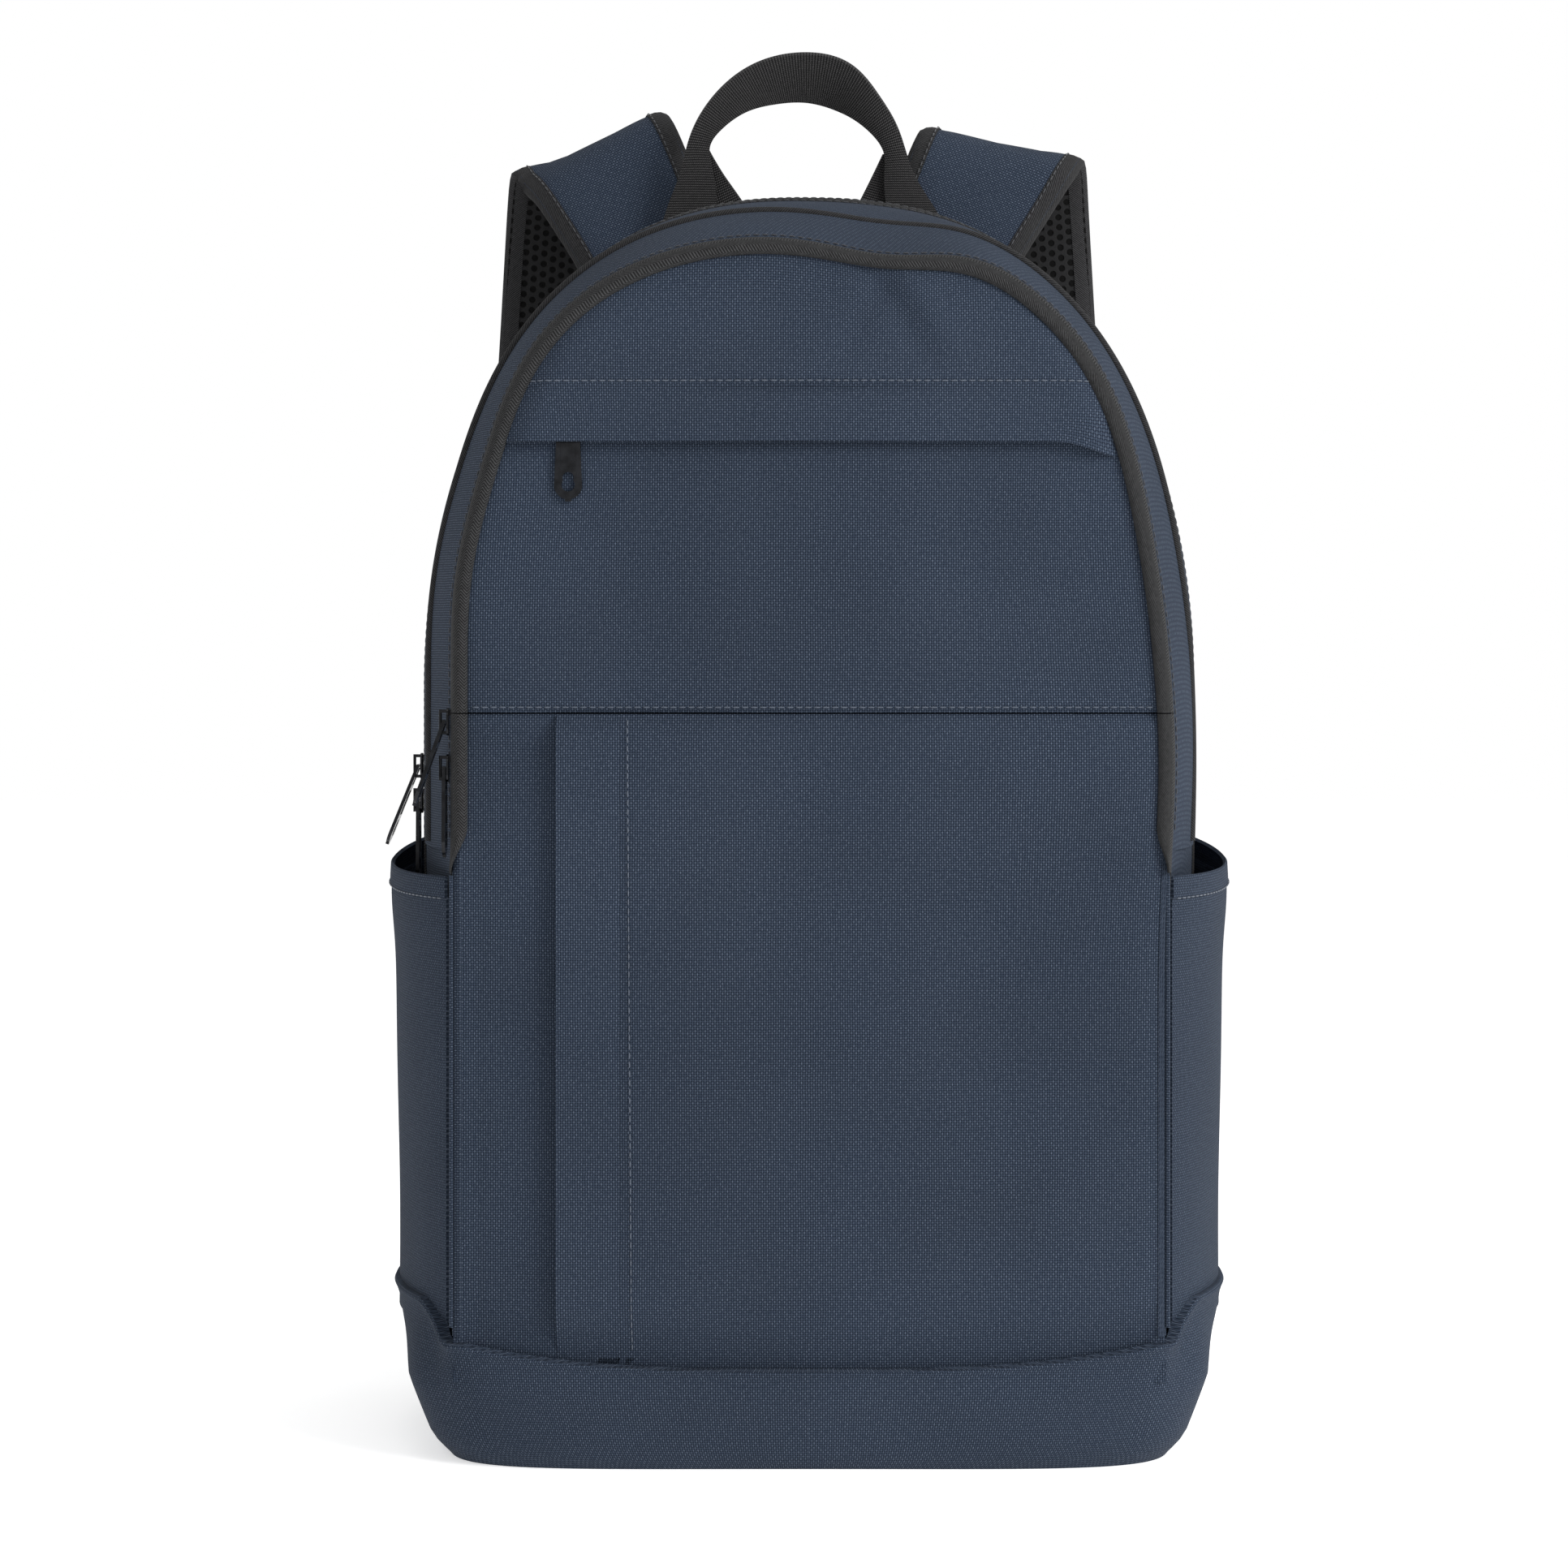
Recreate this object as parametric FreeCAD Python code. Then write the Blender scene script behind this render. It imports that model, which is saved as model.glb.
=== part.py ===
"""School backpack: canvas bag with two zipped compartments, padded shoulder straps and a haul loop.

Millimetres. Origin on the floor under the middle of the bag, +Z up, the front faces -Y, +X to the right of
someone looking at the front. Every separate piece is written to its own file in parts/.
"""
import FreeCAD
import Part
import math
import os

# ---- Bag outline: half width, crown height and shoulder shape at three depths (front, middle, back) ----
DEPTHS = (-68.3, 5.0, 74.0)
HALF_WIDTHS = (123.5, 141.0, 137.0)
CROWN_HEIGHTS = (425.0, 450.0, 452.0)
SHOULDER_STARTS = (285.0, 270.0, 262.0)
SHOULDER_RISES = (2.1, 2.0, 2.0)
SHOULDER_RUNS = (3.0, 2.5, 2.5)
SHOULDER_STEP_DEG = 11.25
POCKET_RECESS = 3.5
POCKET_RECESS_TOP = 210.0
POCKET_RECESS_RUN = 60.0

# ---- Fabric and heights ----
SKIN = 2.0
SKIN_FLOOR = 58.0
SIDE_SPLIT_Z = 214.0
CROSS_SEAM_Z = 262.0
SEAM_GAP = 0.3

# ---- Front face: a shallow tray whose rim slopes back to the zip ----
FACE_Y = -79.5
RIM_Y = -76.5
RIM_RUN = 14.0
FRONT_PANEL_FLOOR = 40.0

# ---- Zips ----
TAPE = 0.8
TAPE_WIDTH = 3.6
ZIP_GAP = 1.0
COIL_DEPTH = 1.4
COIL_WIDTH = 1.2
COIL_CLEAR = 0.05
FRONT_ZIP_Y = -72.4
REAR_ZIP_Y = 5.0
FACE_ZIP_Y = -77.5
ZIP_SLOT = 9.0
POCKET_ZIP_Z = 366.0
POCKET_ZIP_HALF = 98.0
PLACKET_ZIP_X = -78.0
PLACKET_ZIP_LOW = 50.0
PLACKET_ZIP_HIGH = 258.0

# ---- Cover strips over the two face zips ----
COVER_BACK_Y = -82.5
COVER_THICK = 1.2
COVER_HINGE_GAP = 0.3
POCKET_COVER_LOW = 355.5
POCKET_COVER_HIGH = 377.0
POCKET_COVER_INSET = 9.0
PLACKET_FOLD_X = -87.0
PLACKET_STITCH_X = -62.5
STITCH_ROW = 2.5

# ---- Zip sliders and pulls ----
SLIDER_LENGTH = 9.6
SLIDER_WIDTH = 7.0
TOP_PLATE = (1.35, 2.0)
LOW_PLATE = (-2.9, -2.2)
NECK_WIDTH = 0.6
BAIL_WIDTH = 2.2
BAIL_HALF = 4.3
BAIL_POST = 1.1
BAIL_BAR = (3.85, 4.8)
PIVOT_OUT = 2.9
PULL_LENGTH = 31.0
PULL_THICK = 1.2
PULL_TOP_WIDTH = 7.5
PULL_LOW_WIDTH = 9.6
PULL_BAR_R = 0.7
FRONT_UPPER_SLIDER_Z = 259.0
FRONT_LOWER_SLIDER_Z = 243.0
REAR_UPPER_SLIDER_Z = 241.5
REAR_LOWER_SLIDER_Z = 229.0
FRONT_UPPER_TILT = 20.0
REAR_UPPER_TILT = 22.0
POCKET_SLIDER_X = -83.0
PLACKET_SLIDER_Z = 248.0

# ---- Base ----
BASE_HEIGHT = 58.0
BASE_FRONT_HEIGHT = 38.0
BASE_SLOPE_RUN = 18.0
BASE_WALL = 2.0
BASE_SQUARENESS = 6.5
BOARD_THICK = 2.0

# ---- Side pockets ----
POCKET_FRONT = (126.5, -66.0)
POCKET_BULGE = (152.5, 0.0)
POCKET_REAR = (138.5, 62.0)
POCKET_WALL = 1.2
POCKET_MOUTH_FRONT = 205.0
POCKET_MOUTH_REAR = 216.0

# ---- Back, inside and harness ----
BACK_Y = 70.0
FOAM_THICK = 7.0
MESH_THICK = 1.2
WEBBING_WIDTH = 25.0
WEBBING_THICK = 1.8
STRAP_WIDTH = 65.0
STRAP_LOW_WIDTH = 46.0
STRAP_FOAM = 7.6
STRAP_SKIN = 1.0
STRAP_STATIONS = 30
STRAP_SHIFT_RIGHT = 9.0
STRAP_CANT_LEFT = 17.0
STRAP_CANT_RIGHT = 9.0
BINDING = 1.0
BINDING_CLEAR = 0.1
ANCHOR_BACK_Y = 82.6
LOOP_STATIONS = 30


def vec(x, y, z):
    return FreeCAD.Vector(x, y, z)


def box(x0, x1, y0, y1, z0, z1):
    return Part.makeBox(x1 - x0, y1 - y0, z1 - z0, vec(x0, y0, z0))


def through(y, values):
    """Parabola through the values at the three outline depths; the front zone keeps one outline."""
    a, b, c = DEPTHS
    y = max(y, a)
    va, vb, vc = values
    first = (vb - va) / (b - a)
    second = ((vc - vb) / (c - b) - first) / (c - a)
    return va + first * (y - a) + second * (y - a) * (y - b)


def pocket_recess(y, z):
    """How far the side is drawn in behind the side pocket."""
    depth_share = min(1.0, max(0.0, (y - DEPTHS[0]) / (DEPTHS[1] - DEPTHS[0])))
    drop = min(1.0, max(0.0, (POCKET_RECESS_TOP - z) / POCKET_RECESS_RUN))
    return POCKET_RECESS * depth_share * (1 - math.cos(math.pi * drop)) / 2


def arch_points(y, grow, floor):
    """Half of the outline as (x, z), from the floor up the side and over the shoulder to the crown."""
    width = through(y, HALF_WIDTHS) + grow
    crown = through(y, CROWN_HEIGHTS) + grow
    start = through(y, SHOULDER_STARTS)
    rise = through(y, SHOULDER_RISES)
    run = through(y, SHOULDER_RUNS)
    side_steps = 8
    points = []
    for i in range(side_steps):
        z = floor + (start - floor) * i / side_steps
        points.append((width - pocket_recess(y, z), z))
    steps = int(round(90 / SHOULDER_STEP_DEG))
    for i in range(steps + 1):
        t = math.radians(i * SHOULDER_STEP_DEG)
        x = width * max(math.cos(t), 0.0) ** (2 / run)
        z = start + (crown - start) * math.sin(t) ** (2 / rise)
        points.append((x if i < steps else 0.0, z))
    return points


def arch_wire(y, grow=0.0, floor=SKIN_FLOOR):
    half = arch_points(y, grow, floor)
    right = [vec(x, y, z) for x, z in half]
    left = [vec(-x, y, z) for x, z in reversed(half[:-1])]
    points = right + left
    curve = Part.BSplineCurve()
    curve.interpolate(Points=points, Parameters=[float(i) for i in range(len(points))])
    return Part.Wire([curve.toShape(), Part.makeLine(points[-1], points[0])])


def arch_solid(y0, y1, grow=0.0, floor=SKIN_FLOOR):
    """Everything inside the outline between two depths."""
    if y1 - y0 < 12:
        return Part.makeLoft([arch_wire(y0, grow, floor), arch_wire(y1, grow, floor)], True, True)
    middle = (y0 + y1) / 2
    return Part.makeLoft([arch_wire(y, grow, floor) for y in (y0, middle, y1)], True, False)


def arch_band(y0, y1, outer, inner, floor=SKIN_FLOOR):
    """A strip that runs up one side, over the crown and down the other."""
    return arch_solid(y0, y1, outer, floor).cut(arch_solid(y0 - 1, y1 + 1, inner, floor - 5))


def above(shape, z):
    return shape.common(box(-300, 300, -300, 300, z, 700))


def below(shape, z):
    return shape.common(box(-300, 300, -300, 300, -50, z))


def one_side(shape, sign):
    return shape.common(box(0, 300, -300, 300, -50, 700) if sign > 0 else box(-300, 0, -300, 300, -50, 700))


def facing_out(shape):
    """The same solid with its faces turned outward."""
    if shape.Volume < 0:
        shape.reverse()
    return shape


# ---------------------------------------------------------------- front face

def front_tray():
    """The front face: flat in the middle, with a rim that slopes back to the zip all round."""
    floor = FRONT_PANEL_FLOOR
    outer = Part.makeLoft([arch_wire(RIM_Y, 0.0, floor), arch_wire(FACE_Y, -RIM_RUN, floor)], True, True)
    inner_back = arch_wire(RIM_Y + SKIN, -SKIN / 2, floor - 5)
    inner_front = arch_wire(FACE_Y + SKIN, -RIM_RUN - SKIN / 2, floor - 5)
    inner = Part.makeLoft([inner_back, inner_front], True, True)
    return outer.cut(inner)


def stitched_rib(x0, x1, z0, z1):
    """Row where a cover strip is sewn down on the front face."""
    return box(x0, x1, COVER_BACK_Y - COVER_THICK, FACE_Y + 0.1, z0, z1)


def cover_outline():
    return arch_solid(FACE_Y - 10, RIM_Y, -POCKET_COVER_INSET)


def upper_front_panel(tray):
    slot = box(-POCKET_ZIP_HALF, POCKET_ZIP_HALF, -90, -70, POCKET_ZIP_Z - ZIP_SLOT / 2, POCKET_ZIP_Z + ZIP_SLOT / 2)
    reach = HALF_WIDTHS[0]
    rib = stitched_rib(-reach, reach, POCKET_COVER_HIGH - STITCH_ROW, POCKET_COVER_HIGH).common(
        arch_solid(FACE_Y - 10, RIM_Y, -RIM_RUN - 1))
    return above(tray, CROSS_SEAM_Z + SEAM_GAP).cut(slot).fuse(rib)


def pocket_cover():
    """Strip that hangs from its stitched rib over the pocket zip."""
    reach = HALF_WIDTHS[0]
    sheet = box(-reach, reach, COVER_BACK_Y - COVER_THICK, COVER_BACK_Y,
                POCKET_COVER_LOW, POCKET_COVER_HIGH - STITCH_ROW - COVER_HINGE_GAP)
    return sheet.common(cover_outline())


def pocket_zip_half(sign):
    gap = ZIP_GAP / 2
    low, high = sorted((POCKET_ZIP_Z + sign * gap, POCKET_ZIP_Z + sign * (gap + TAPE_WIDTH)))
    tape = box(-POCKET_ZIP_HALF, POCKET_ZIP_HALF, FACE_ZIP_Y - TAPE, FACE_ZIP_Y, low, high)
    c0, c1 = sorted((POCKET_ZIP_Z + sign * gap, POCKET_ZIP_Z + sign * (gap + COIL_WIDTH)))
    coil = box(-POCKET_ZIP_HALF, POCKET_ZIP_HALF, FACE_ZIP_Y, FACE_ZIP_Y + COIL_DEPTH, c0, c1)
    return tape.fuse(coil).removeSplitter()


def pocket_bag():
    """Lining sheet behind the zipped front pocket."""
    return box(-97, 97, -73.4, -72.4, CROSS_SEAM_Z + 14, POCKET_ZIP_Z + 10)


def placket_edges():
    return PLACKET_ZIP_X - ZIP_SLOT / 2, PLACKET_ZIP_X + ZIP_SLOT / 2


def lower_tray(tray):
    """The lower part of the front face, cut on the slope of the base seam."""
    part = below(tray, CROSS_SEAM_Z - SEAM_GAP)
    return part.cut(base_slope_keep(SEAM_GAP))


def placket_side_panel(tray):
    return lower_tray(tray).common(box(-300, placket_edges()[0], -300, 300, 0, 400))


def placket_heights():
    return FRONT_PANEL_FLOOR + 2, CROSS_SEAM_Z - 1


def lower_front_panel(tray):
    low, high = placket_heights()
    rib = stitched_rib(PLACKET_STITCH_X - STITCH_ROW, PLACKET_STITCH_X, low, high)
    return lower_tray(tray).common(box(placket_edges()[1], 300, -300, 300, 0, 400)).fuse(rib)


def placket_cover():
    """Folded strip of the lower front panel that hides the upright zip."""
    low, high = placket_heights()
    right = PLACKET_STITCH_X - STITCH_ROW - COVER_HINGE_GAP
    return box(PLACKET_FOLD_X, right, COVER_BACK_Y - COVER_THICK, COVER_BACK_Y, low, high)


def placket_zip_half(sign):
    gap = ZIP_GAP / 2
    a, b = sorted((PLACKET_ZIP_X + sign * gap, PLACKET_ZIP_X + sign * (gap + TAPE_WIDTH)))
    tape = box(a, b, FACE_ZIP_Y - TAPE, FACE_ZIP_Y, PLACKET_ZIP_LOW, PLACKET_ZIP_HIGH)
    c, d = sorted((PLACKET_ZIP_X + sign * gap, PLACKET_ZIP_X + sign * (gap + COIL_WIDTH)))
    coil = box(c, d, FACE_ZIP_Y, FACE_ZIP_Y + COIL_DEPTH, PLACKET_ZIP_LOW, PLACKET_ZIP_HIGH)
    return tape.fuse(coil).removeSplitter()


def placket_bag():
    return box(-112, 60, -73.4, -72.4, PLACKET_ZIP_LOW + 12, PLACKET_ZIP_HIGH - 6)


# ---------------------------------------------------------------- arched zips and gussets

def arched_zip_half(centre_y, sign):
    """One tape of an arched zip with the coil sewn to its inner edge."""
    gap = ZIP_GAP / 2
    y0, y1 = sorted((centre_y + sign * gap, centre_y + sign * (gap + TAPE_WIDTH)))
    c0, c1 = sorted((centre_y + sign * gap, centre_y + sign * (gap + COIL_WIDTH)))
    tape = arch_band(y0, y1, TAPE, 0.0)
    coil = arch_band(c0, c1, -COIL_CLEAR, -COIL_DEPTH)
    low = SIDE_SPLIT_Z + SEAM_GAP
    return Part.makeCompound(above(tape, low).Solids + above(coil, low).Solids)


def gusset(y0, y1):
    return above(arch_band(y0, y1, 0.0, -SKIN), SIDE_SPLIT_Z + SEAM_GAP)


def side_panel(sign):
    """Lower side of the bag, behind the side pocket."""
    front, rest = arch_band(RIM_Y, DEPTHS[0], 0.0, -SKIN), arch_band(DEPTHS[0], BACK_Y, 0.0, -SKIN)
    return one_side(below(front.fuse(rest), SIDE_SPLIT_Z), sign).removeSplitter()


# ---------------------------------------------------------------- base

def plan_wire(z, half_width, half_depth):
    """Closed rounded outline of the base at one height."""
    steps = 40
    points = []
    for i in range(steps):
        t = 2 * math.pi * (i + 0.5) / steps
        c, s = math.cos(t), math.sin(t)
        x = half_width * math.copysign(abs(c) ** (2 / BASE_SQUARENESS), c)
        y = half_depth * math.copysign(abs(s) ** (2 / BASE_SQUARENESS), s)
        points.append(vec(x, y - 1.0, z))
    curve = Part.BSplineCurve()
    curve.interpolate(Points=points, PeriodicFlag=True)
    return Part.Wire([curve.toShape()])


def base_solid(inset, low):
    """Everything inside the base at a wall inset; it flares from the floor up to its top seam."""
    top = BASE_HEIGHT + (0.0 if inset == 0 else 3.0)
    levels = [(low, 130.0, 74.5), (low + 9, 135.5, 77.5), (28.0, 144.5, 79.8), (top, 150.0, 80.5)]
    wires = [plan_wire(z, w - inset, d - inset) for z, w, d in levels]
    return Part.makeLoft(wires, True, True)


def base_slope_keep(gap):
    """Wedge under the base seam: low along the front, rising to full height round the corners."""
    front = FACE_Y - 6
    run_end = -80.0 + BASE_SLOPE_RUN
    slope = (BASE_HEIGHT - BASE_FRONT_HEIGHT) / BASE_SLOPE_RUN
    z_front = BASE_FRONT_HEIGHT - 5.5 * slope
    profile = [vec(-200, front, -5), vec(-200, front, z_front + gap), vec(-200, run_end, BASE_HEIGHT + gap),
               vec(-200, 200, BASE_HEIGHT + gap), vec(-200, 200, -5)]
    face = Part.Face(Part.makePolygon(profile + [profile[0]]))
    return face.extrude(vec(400, 0, 0))


def base_panel():
    cup = base_solid(0.0, 0.0).cut(base_solid(BASE_WALL, BASE_WALL))
    return cup.common(base_slope_keep(0.0))


def base_board():
    """Stiff sheet that keeps the bottom flat."""
    wire = plan_wire(BASE_WALL + 0.2, 122.0, 67.0)
    return Part.Face(wire).extrude(vec(0, 0, BOARD_THICK))


# ---------------------------------------------------------------- side pockets

def pocket_region(sign, inset):
    """Prism between the pocket's bowed panel and a flat chord, drawn in by a wall inset."""
    fx, fy = POCKET_FRONT
    bx, by = POCKET_BULGE
    rx, ry = POCKET_REAR
    a = vec(sign * (fx - inset), fy + 0.4 * inset, 0)
    b = vec(sign * (bx - inset), by, 0)
    c = vec(sign * (rx - inset), ry - 0.4 * inset, 0)
    inner_c = vec(sign * (rx - 60), ry - 0.4 * inset, 0)
    inner_a = vec(sign * (fx - 60), fy + 0.4 * inset, 0)
    edges = [Part.Arc(a, b, c).toShape(), Part.makeLine(c, inner_c), Part.makeLine(inner_c, inner_a),
             Part.makeLine(inner_a, a)]
    return Part.Face(Part.Wire(edges)).extrude(vec(0, 0, 300))


def pocket_mouth_cut():
    """Everything above the sloping mouth of a side pocket."""
    y0, y1 = -120.0, 120.0
    slope = (POCKET_MOUTH_REAR - POCKET_MOUTH_FRONT) / (POCKET_REAR[1] - POCKET_FRONT[1])
    z0 = POCKET_MOUTH_FRONT + slope * (y0 - POCKET_FRONT[1])
    z1 = POCKET_MOUTH_FRONT + slope * (y1 - POCKET_FRONT[1])
    profile = [vec(-250, y0, z0), vec(-250, y1, z1), vec(-250, y1, 400), vec(-250, y0, 400)]
    return Part.Face(Part.makePolygon(profile + [profile[0]])).extrude(vec(500, 0, 0))


def side_pocket(sign):
    floor_z = BASE_HEIGHT + SEAM_GAP
    body = arch_solid(DEPTHS[0], BACK_Y, SEAM_GAP, 20.0)
    outer = pocket_region(sign, 0.0).cut(body).cut(pocket_mouth_cut())
    outer = outer.common(box(-300, 300, -300, 300, floor_z, 400))
    inner = pocket_region(sign, POCKET_WALL).common(box(-300, 300, -300, 300, floor_z + POCKET_WALL, 400))
    shell = outer.cut(inner)
    return max(shell.Solids, key=lambda s: s.Volume)


# ---------------------------------------------------------------- inside and back

def compartment_divider():
    """Lining wall between the front and the main compartment, held in the seam of the middle gusset."""
    return above(arch_solid(-1.5, 0.0, -SKIN - 0.2), SKIN_FLOOR)


def laptop_sleeve():
    """Padded sheet that stands a little ahead of the back panel."""
    sheet = box(-118, 118, 48, 52, SKIN_FLOOR + 2, 300)
    return sheet.makeFillet(1.2, [e for e in sheet.Edges if abs(e.BoundBox.XLength) > 200])


def back_panel():
    return arch_solid(BACK_Y, BACK_Y + SKIN)


def back_pad_shape(y0, y1, inset):
    return above(arch_solid(y0, y1, -inset), 66.0)


def back_foam():
    return back_pad_shape(BACK_Y + SKIN, BACK_Y + SKIN + FOAM_THICK, 10.0)


def back_mesh():
    """Air-mesh cover over the foam."""
    y = BACK_Y + SKIN + FOAM_THICK
    return back_pad_shape(y, y + MESH_THICK, 10.0)


# ---------------------------------------------------------------- harness

def strap_route(sign):
    """Centreline of a shoulder strap: up from the yoke, over a fold and down behind the back."""
    shift = STRAP_SHIFT_RIGHT if sign > 0 else 0.0
    stations = [(60, 87.8, 423), (64, 89.5, 441), (74, 94.5, 464), (83, 104, 480), (86, 114, 481), (88, 123, 468),
                (90, 128, 440), (94, 131, 380), (100, 130, 310), (106, 124, 240), (110, 112, 185), (112, 103, 152)]
    return [vec(sign * (x - shift), y, z) for x, y, z in stations]


def strap_frames(sign):
    """Evenly spaced (point, width direction, outward normal, width) along a strap."""
    curve = Part.BSplineCurve()
    curve.interpolate(strap_route(sign))
    lean = STRAP_CANT_RIGHT if sign > 0 else STRAP_CANT_LEFT
    frames = []
    for i in range(STRAP_STATIONS + 1):
        share = i / STRAP_STATIONS
        at = curve.parameterAtDistance(curve.length() * share, curve.FirstParameter)
        point = curve.value(at)
        along = curve.tangent(at)[0]
        cant = math.radians(lean * math.sin(math.pi * min(1.0, share / 0.45)) + 4)
        across = vec(-sign * math.cos(cant), 0, math.sin(cant))
        across = (across - along * across.dot(along)).normalize()
        normal = along.cross(across).normalize() * sign
        wide = min(1.0, 0.78 + share * 1.3) * STRAP_WIDTH
        narrow = STRAP_LOW_WIDTH + (STRAP_WIDTH - STRAP_LOW_WIDTH) * min(1.0, (1 - share) / 0.45)
        frames.append((point, across, normal, min(wide, narrow)))
    return frames


def ribbon(sections):
    """Solid through four-cornered sections, skinned with flat triangles."""
    faces = []
    for here, there in zip(sections, sections[1:]):
        for i, j in ((0, 1), (1, 2), (3, 2), (0, 3)):
            for corners in ((here[i], here[j], there[j]), (here[i], there[j], there[i])):
                faces.append(Part.Face(Part.makePolygon([*corners, corners[0]])))
    for section in (sections[0], sections[-1]):
        faces.append(Part.Face(Part.makePolygon([*section, section[0]])))
    shell = Part.makeShell(faces)
    shell.sewShape()
    solid = Part.Solid(shell)
    solid.fix(0.001, 0.001, 0.001)
    return facing_out(solid)


def section_corners(centre, across, normal, width, thick):
    return [centre + across * (sx * width / 2) + normal * (sy * thick / 2)
            for sx, sy in ((-1, -1), (1, -1), (1, 1), (-1, 1))]


def strap_layer(frames, low, high, side_low, side_high):
    """Solid between two heights over the strap's middle and two shares across its width."""
    sections = []
    for point, across, normal, width in frames:
        sections.append([point + normal * h + across * s(width)
                         for h, s in ((low, side_low), (low, side_high), (high, side_high), (high, side_low))])
    return ribbon(sections)


def strap_pieces(sign):
    frames = strap_frames(sign)
    half = STRAP_FOAM / 2

    def inner_left(width):
        return -width / 2 + BINDING

    def inner_right(width):
        return width / 2 - BINDING

    def edge_left(width):
        return inner_left(width) - BINDING_CLEAR

    def edge_right(width):
        return inner_right(width) + BINDING_CLEAR

    def left(width):
        return -width / 2

    def right(width):
        return width / 2

    top = half + STRAP_SKIN
    foam = strap_layer(frames, -half, half, inner_left, inner_right)
    canvas = strap_layer(frames, half, top, inner_left, inner_right)
    mesh = strap_layer(frames, -top, -half, inner_left, inner_right)
    edges = [strap_layer(frames, -top, top, left, edge_left), strap_layer(frames, -top, top, edge_right, right)]
    return foam, canvas, mesh, Part.makeCompound(edges)


def strap_yoke():
    """Stitched patch that holds the tops of both straps to the back panel."""
    y = BACK_Y + SKIN + FOAM_THICK + MESH_THICK
    patch = box(-98, 98, y, y + 2.4, 396, 426)
    return patch.makeFillet(8, [e for e in patch.Edges if abs(e.BoundBox.YLength - 2.4) < 0.01])


def ladder_lock_centre(sign):
    end = strap_route(sign)[-1]
    return vec(end.x, end.y, end.z - 16.0)


def ladder_lock(sign):
    """Three-bar buckle at the low end of a strap, in the frame of its own upper bar."""
    c = ladder_lock_centre(sign)
    width, height, thick = 36.0, 26.0, 3.4
    body = box(c.x - width / 2, c.x + width / 2, c.y - thick / 2, c.y + thick / 2, c.z - height / 2, c.z + height / 2)
    body = body.makeFillet(1.2, body.Edges)
    for low in (c.z - height / 2 + 3.0, c.z - height / 2 + 10.6, c.z + height / 2 - 7.4):
        body = body.cut(box(c.x - 13.4, c.x + 13.4, c.y - 5, c.y + 5, low, low + 4.6))
    return body


def lock_tab(sign):
    """Webbing tab that loops the strap's low end round the buckle's upper bar."""
    c = ladder_lock_centre(sign)
    near, far, top = 2.5, 3.7, c.z + 14.0
    slot_low = c.z + 7.5
    rear = box(c.x - 12.5, c.x + 12.5, c.y + near, c.y + far, slot_low, top)
    front = box(c.x - 12.5, c.x + 12.5, c.y - far, c.y - near, slot_low, top)
    under = box(c.x - 12.5, c.x + 12.5, c.y - far, c.y + far, slot_low, slot_low + 1.4)
    return front.fuse(rear).fuse(under).removeSplitter()


def strap_anchor(sign):
    """Folded triangle of canvas sewn in the base seam; the lower webbing is sewn into it."""
    outline = [vec(sign * 84, BACK_Y, 22), vec(sign * 120, BACK_Y, 22), vec(sign * 120, BACK_Y, 57),
               vec(sign * 104, BACK_Y, 57)]
    face = Part.Face(Part.makePolygon(outline + [outline[0]]))
    plate = face.extrude(vec(0, ANCHOR_BACK_Y - BACK_Y, 0)).cut(base_solid(0.0, 0.0))
    return max(plate.Solids, key=lambda piece: piece.Volume)


def lower_webbing(sign):
    """Webbing from the anchor up to the buckle, a little slack."""
    lock = ladder_lock_centre(sign)
    back = ANCHOR_BACK_Y + WEBBING_THICK / 2 + 0.1
    route = [vec(sign * 108, back, 50), vec(sign * 108, back + 1.5, 66), vec(sign * 108, back + 8, 84),
             vec(lock.x + sign * 1, lock.y + 8, 104), vec(lock.x, lock.y + 5.6, 121)]
    curve = Part.BSplineCurve()
    curve.interpolate(route)
    sections = []
    steps = 14
    for i in range(steps + 1):
        at = curve.parameterAtDistance(curve.length() * i / steps, curve.FirstParameter)
        along = curve.tangent(at)[0]
        across = vec(1, 0, 0)
        normal = across.cross(along).normalize()
        sections.append(section_corners(curve.value(at), across, normal, WEBBING_WIDTH, WEBBING_THICK))
    return ribbon(sections)


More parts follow.
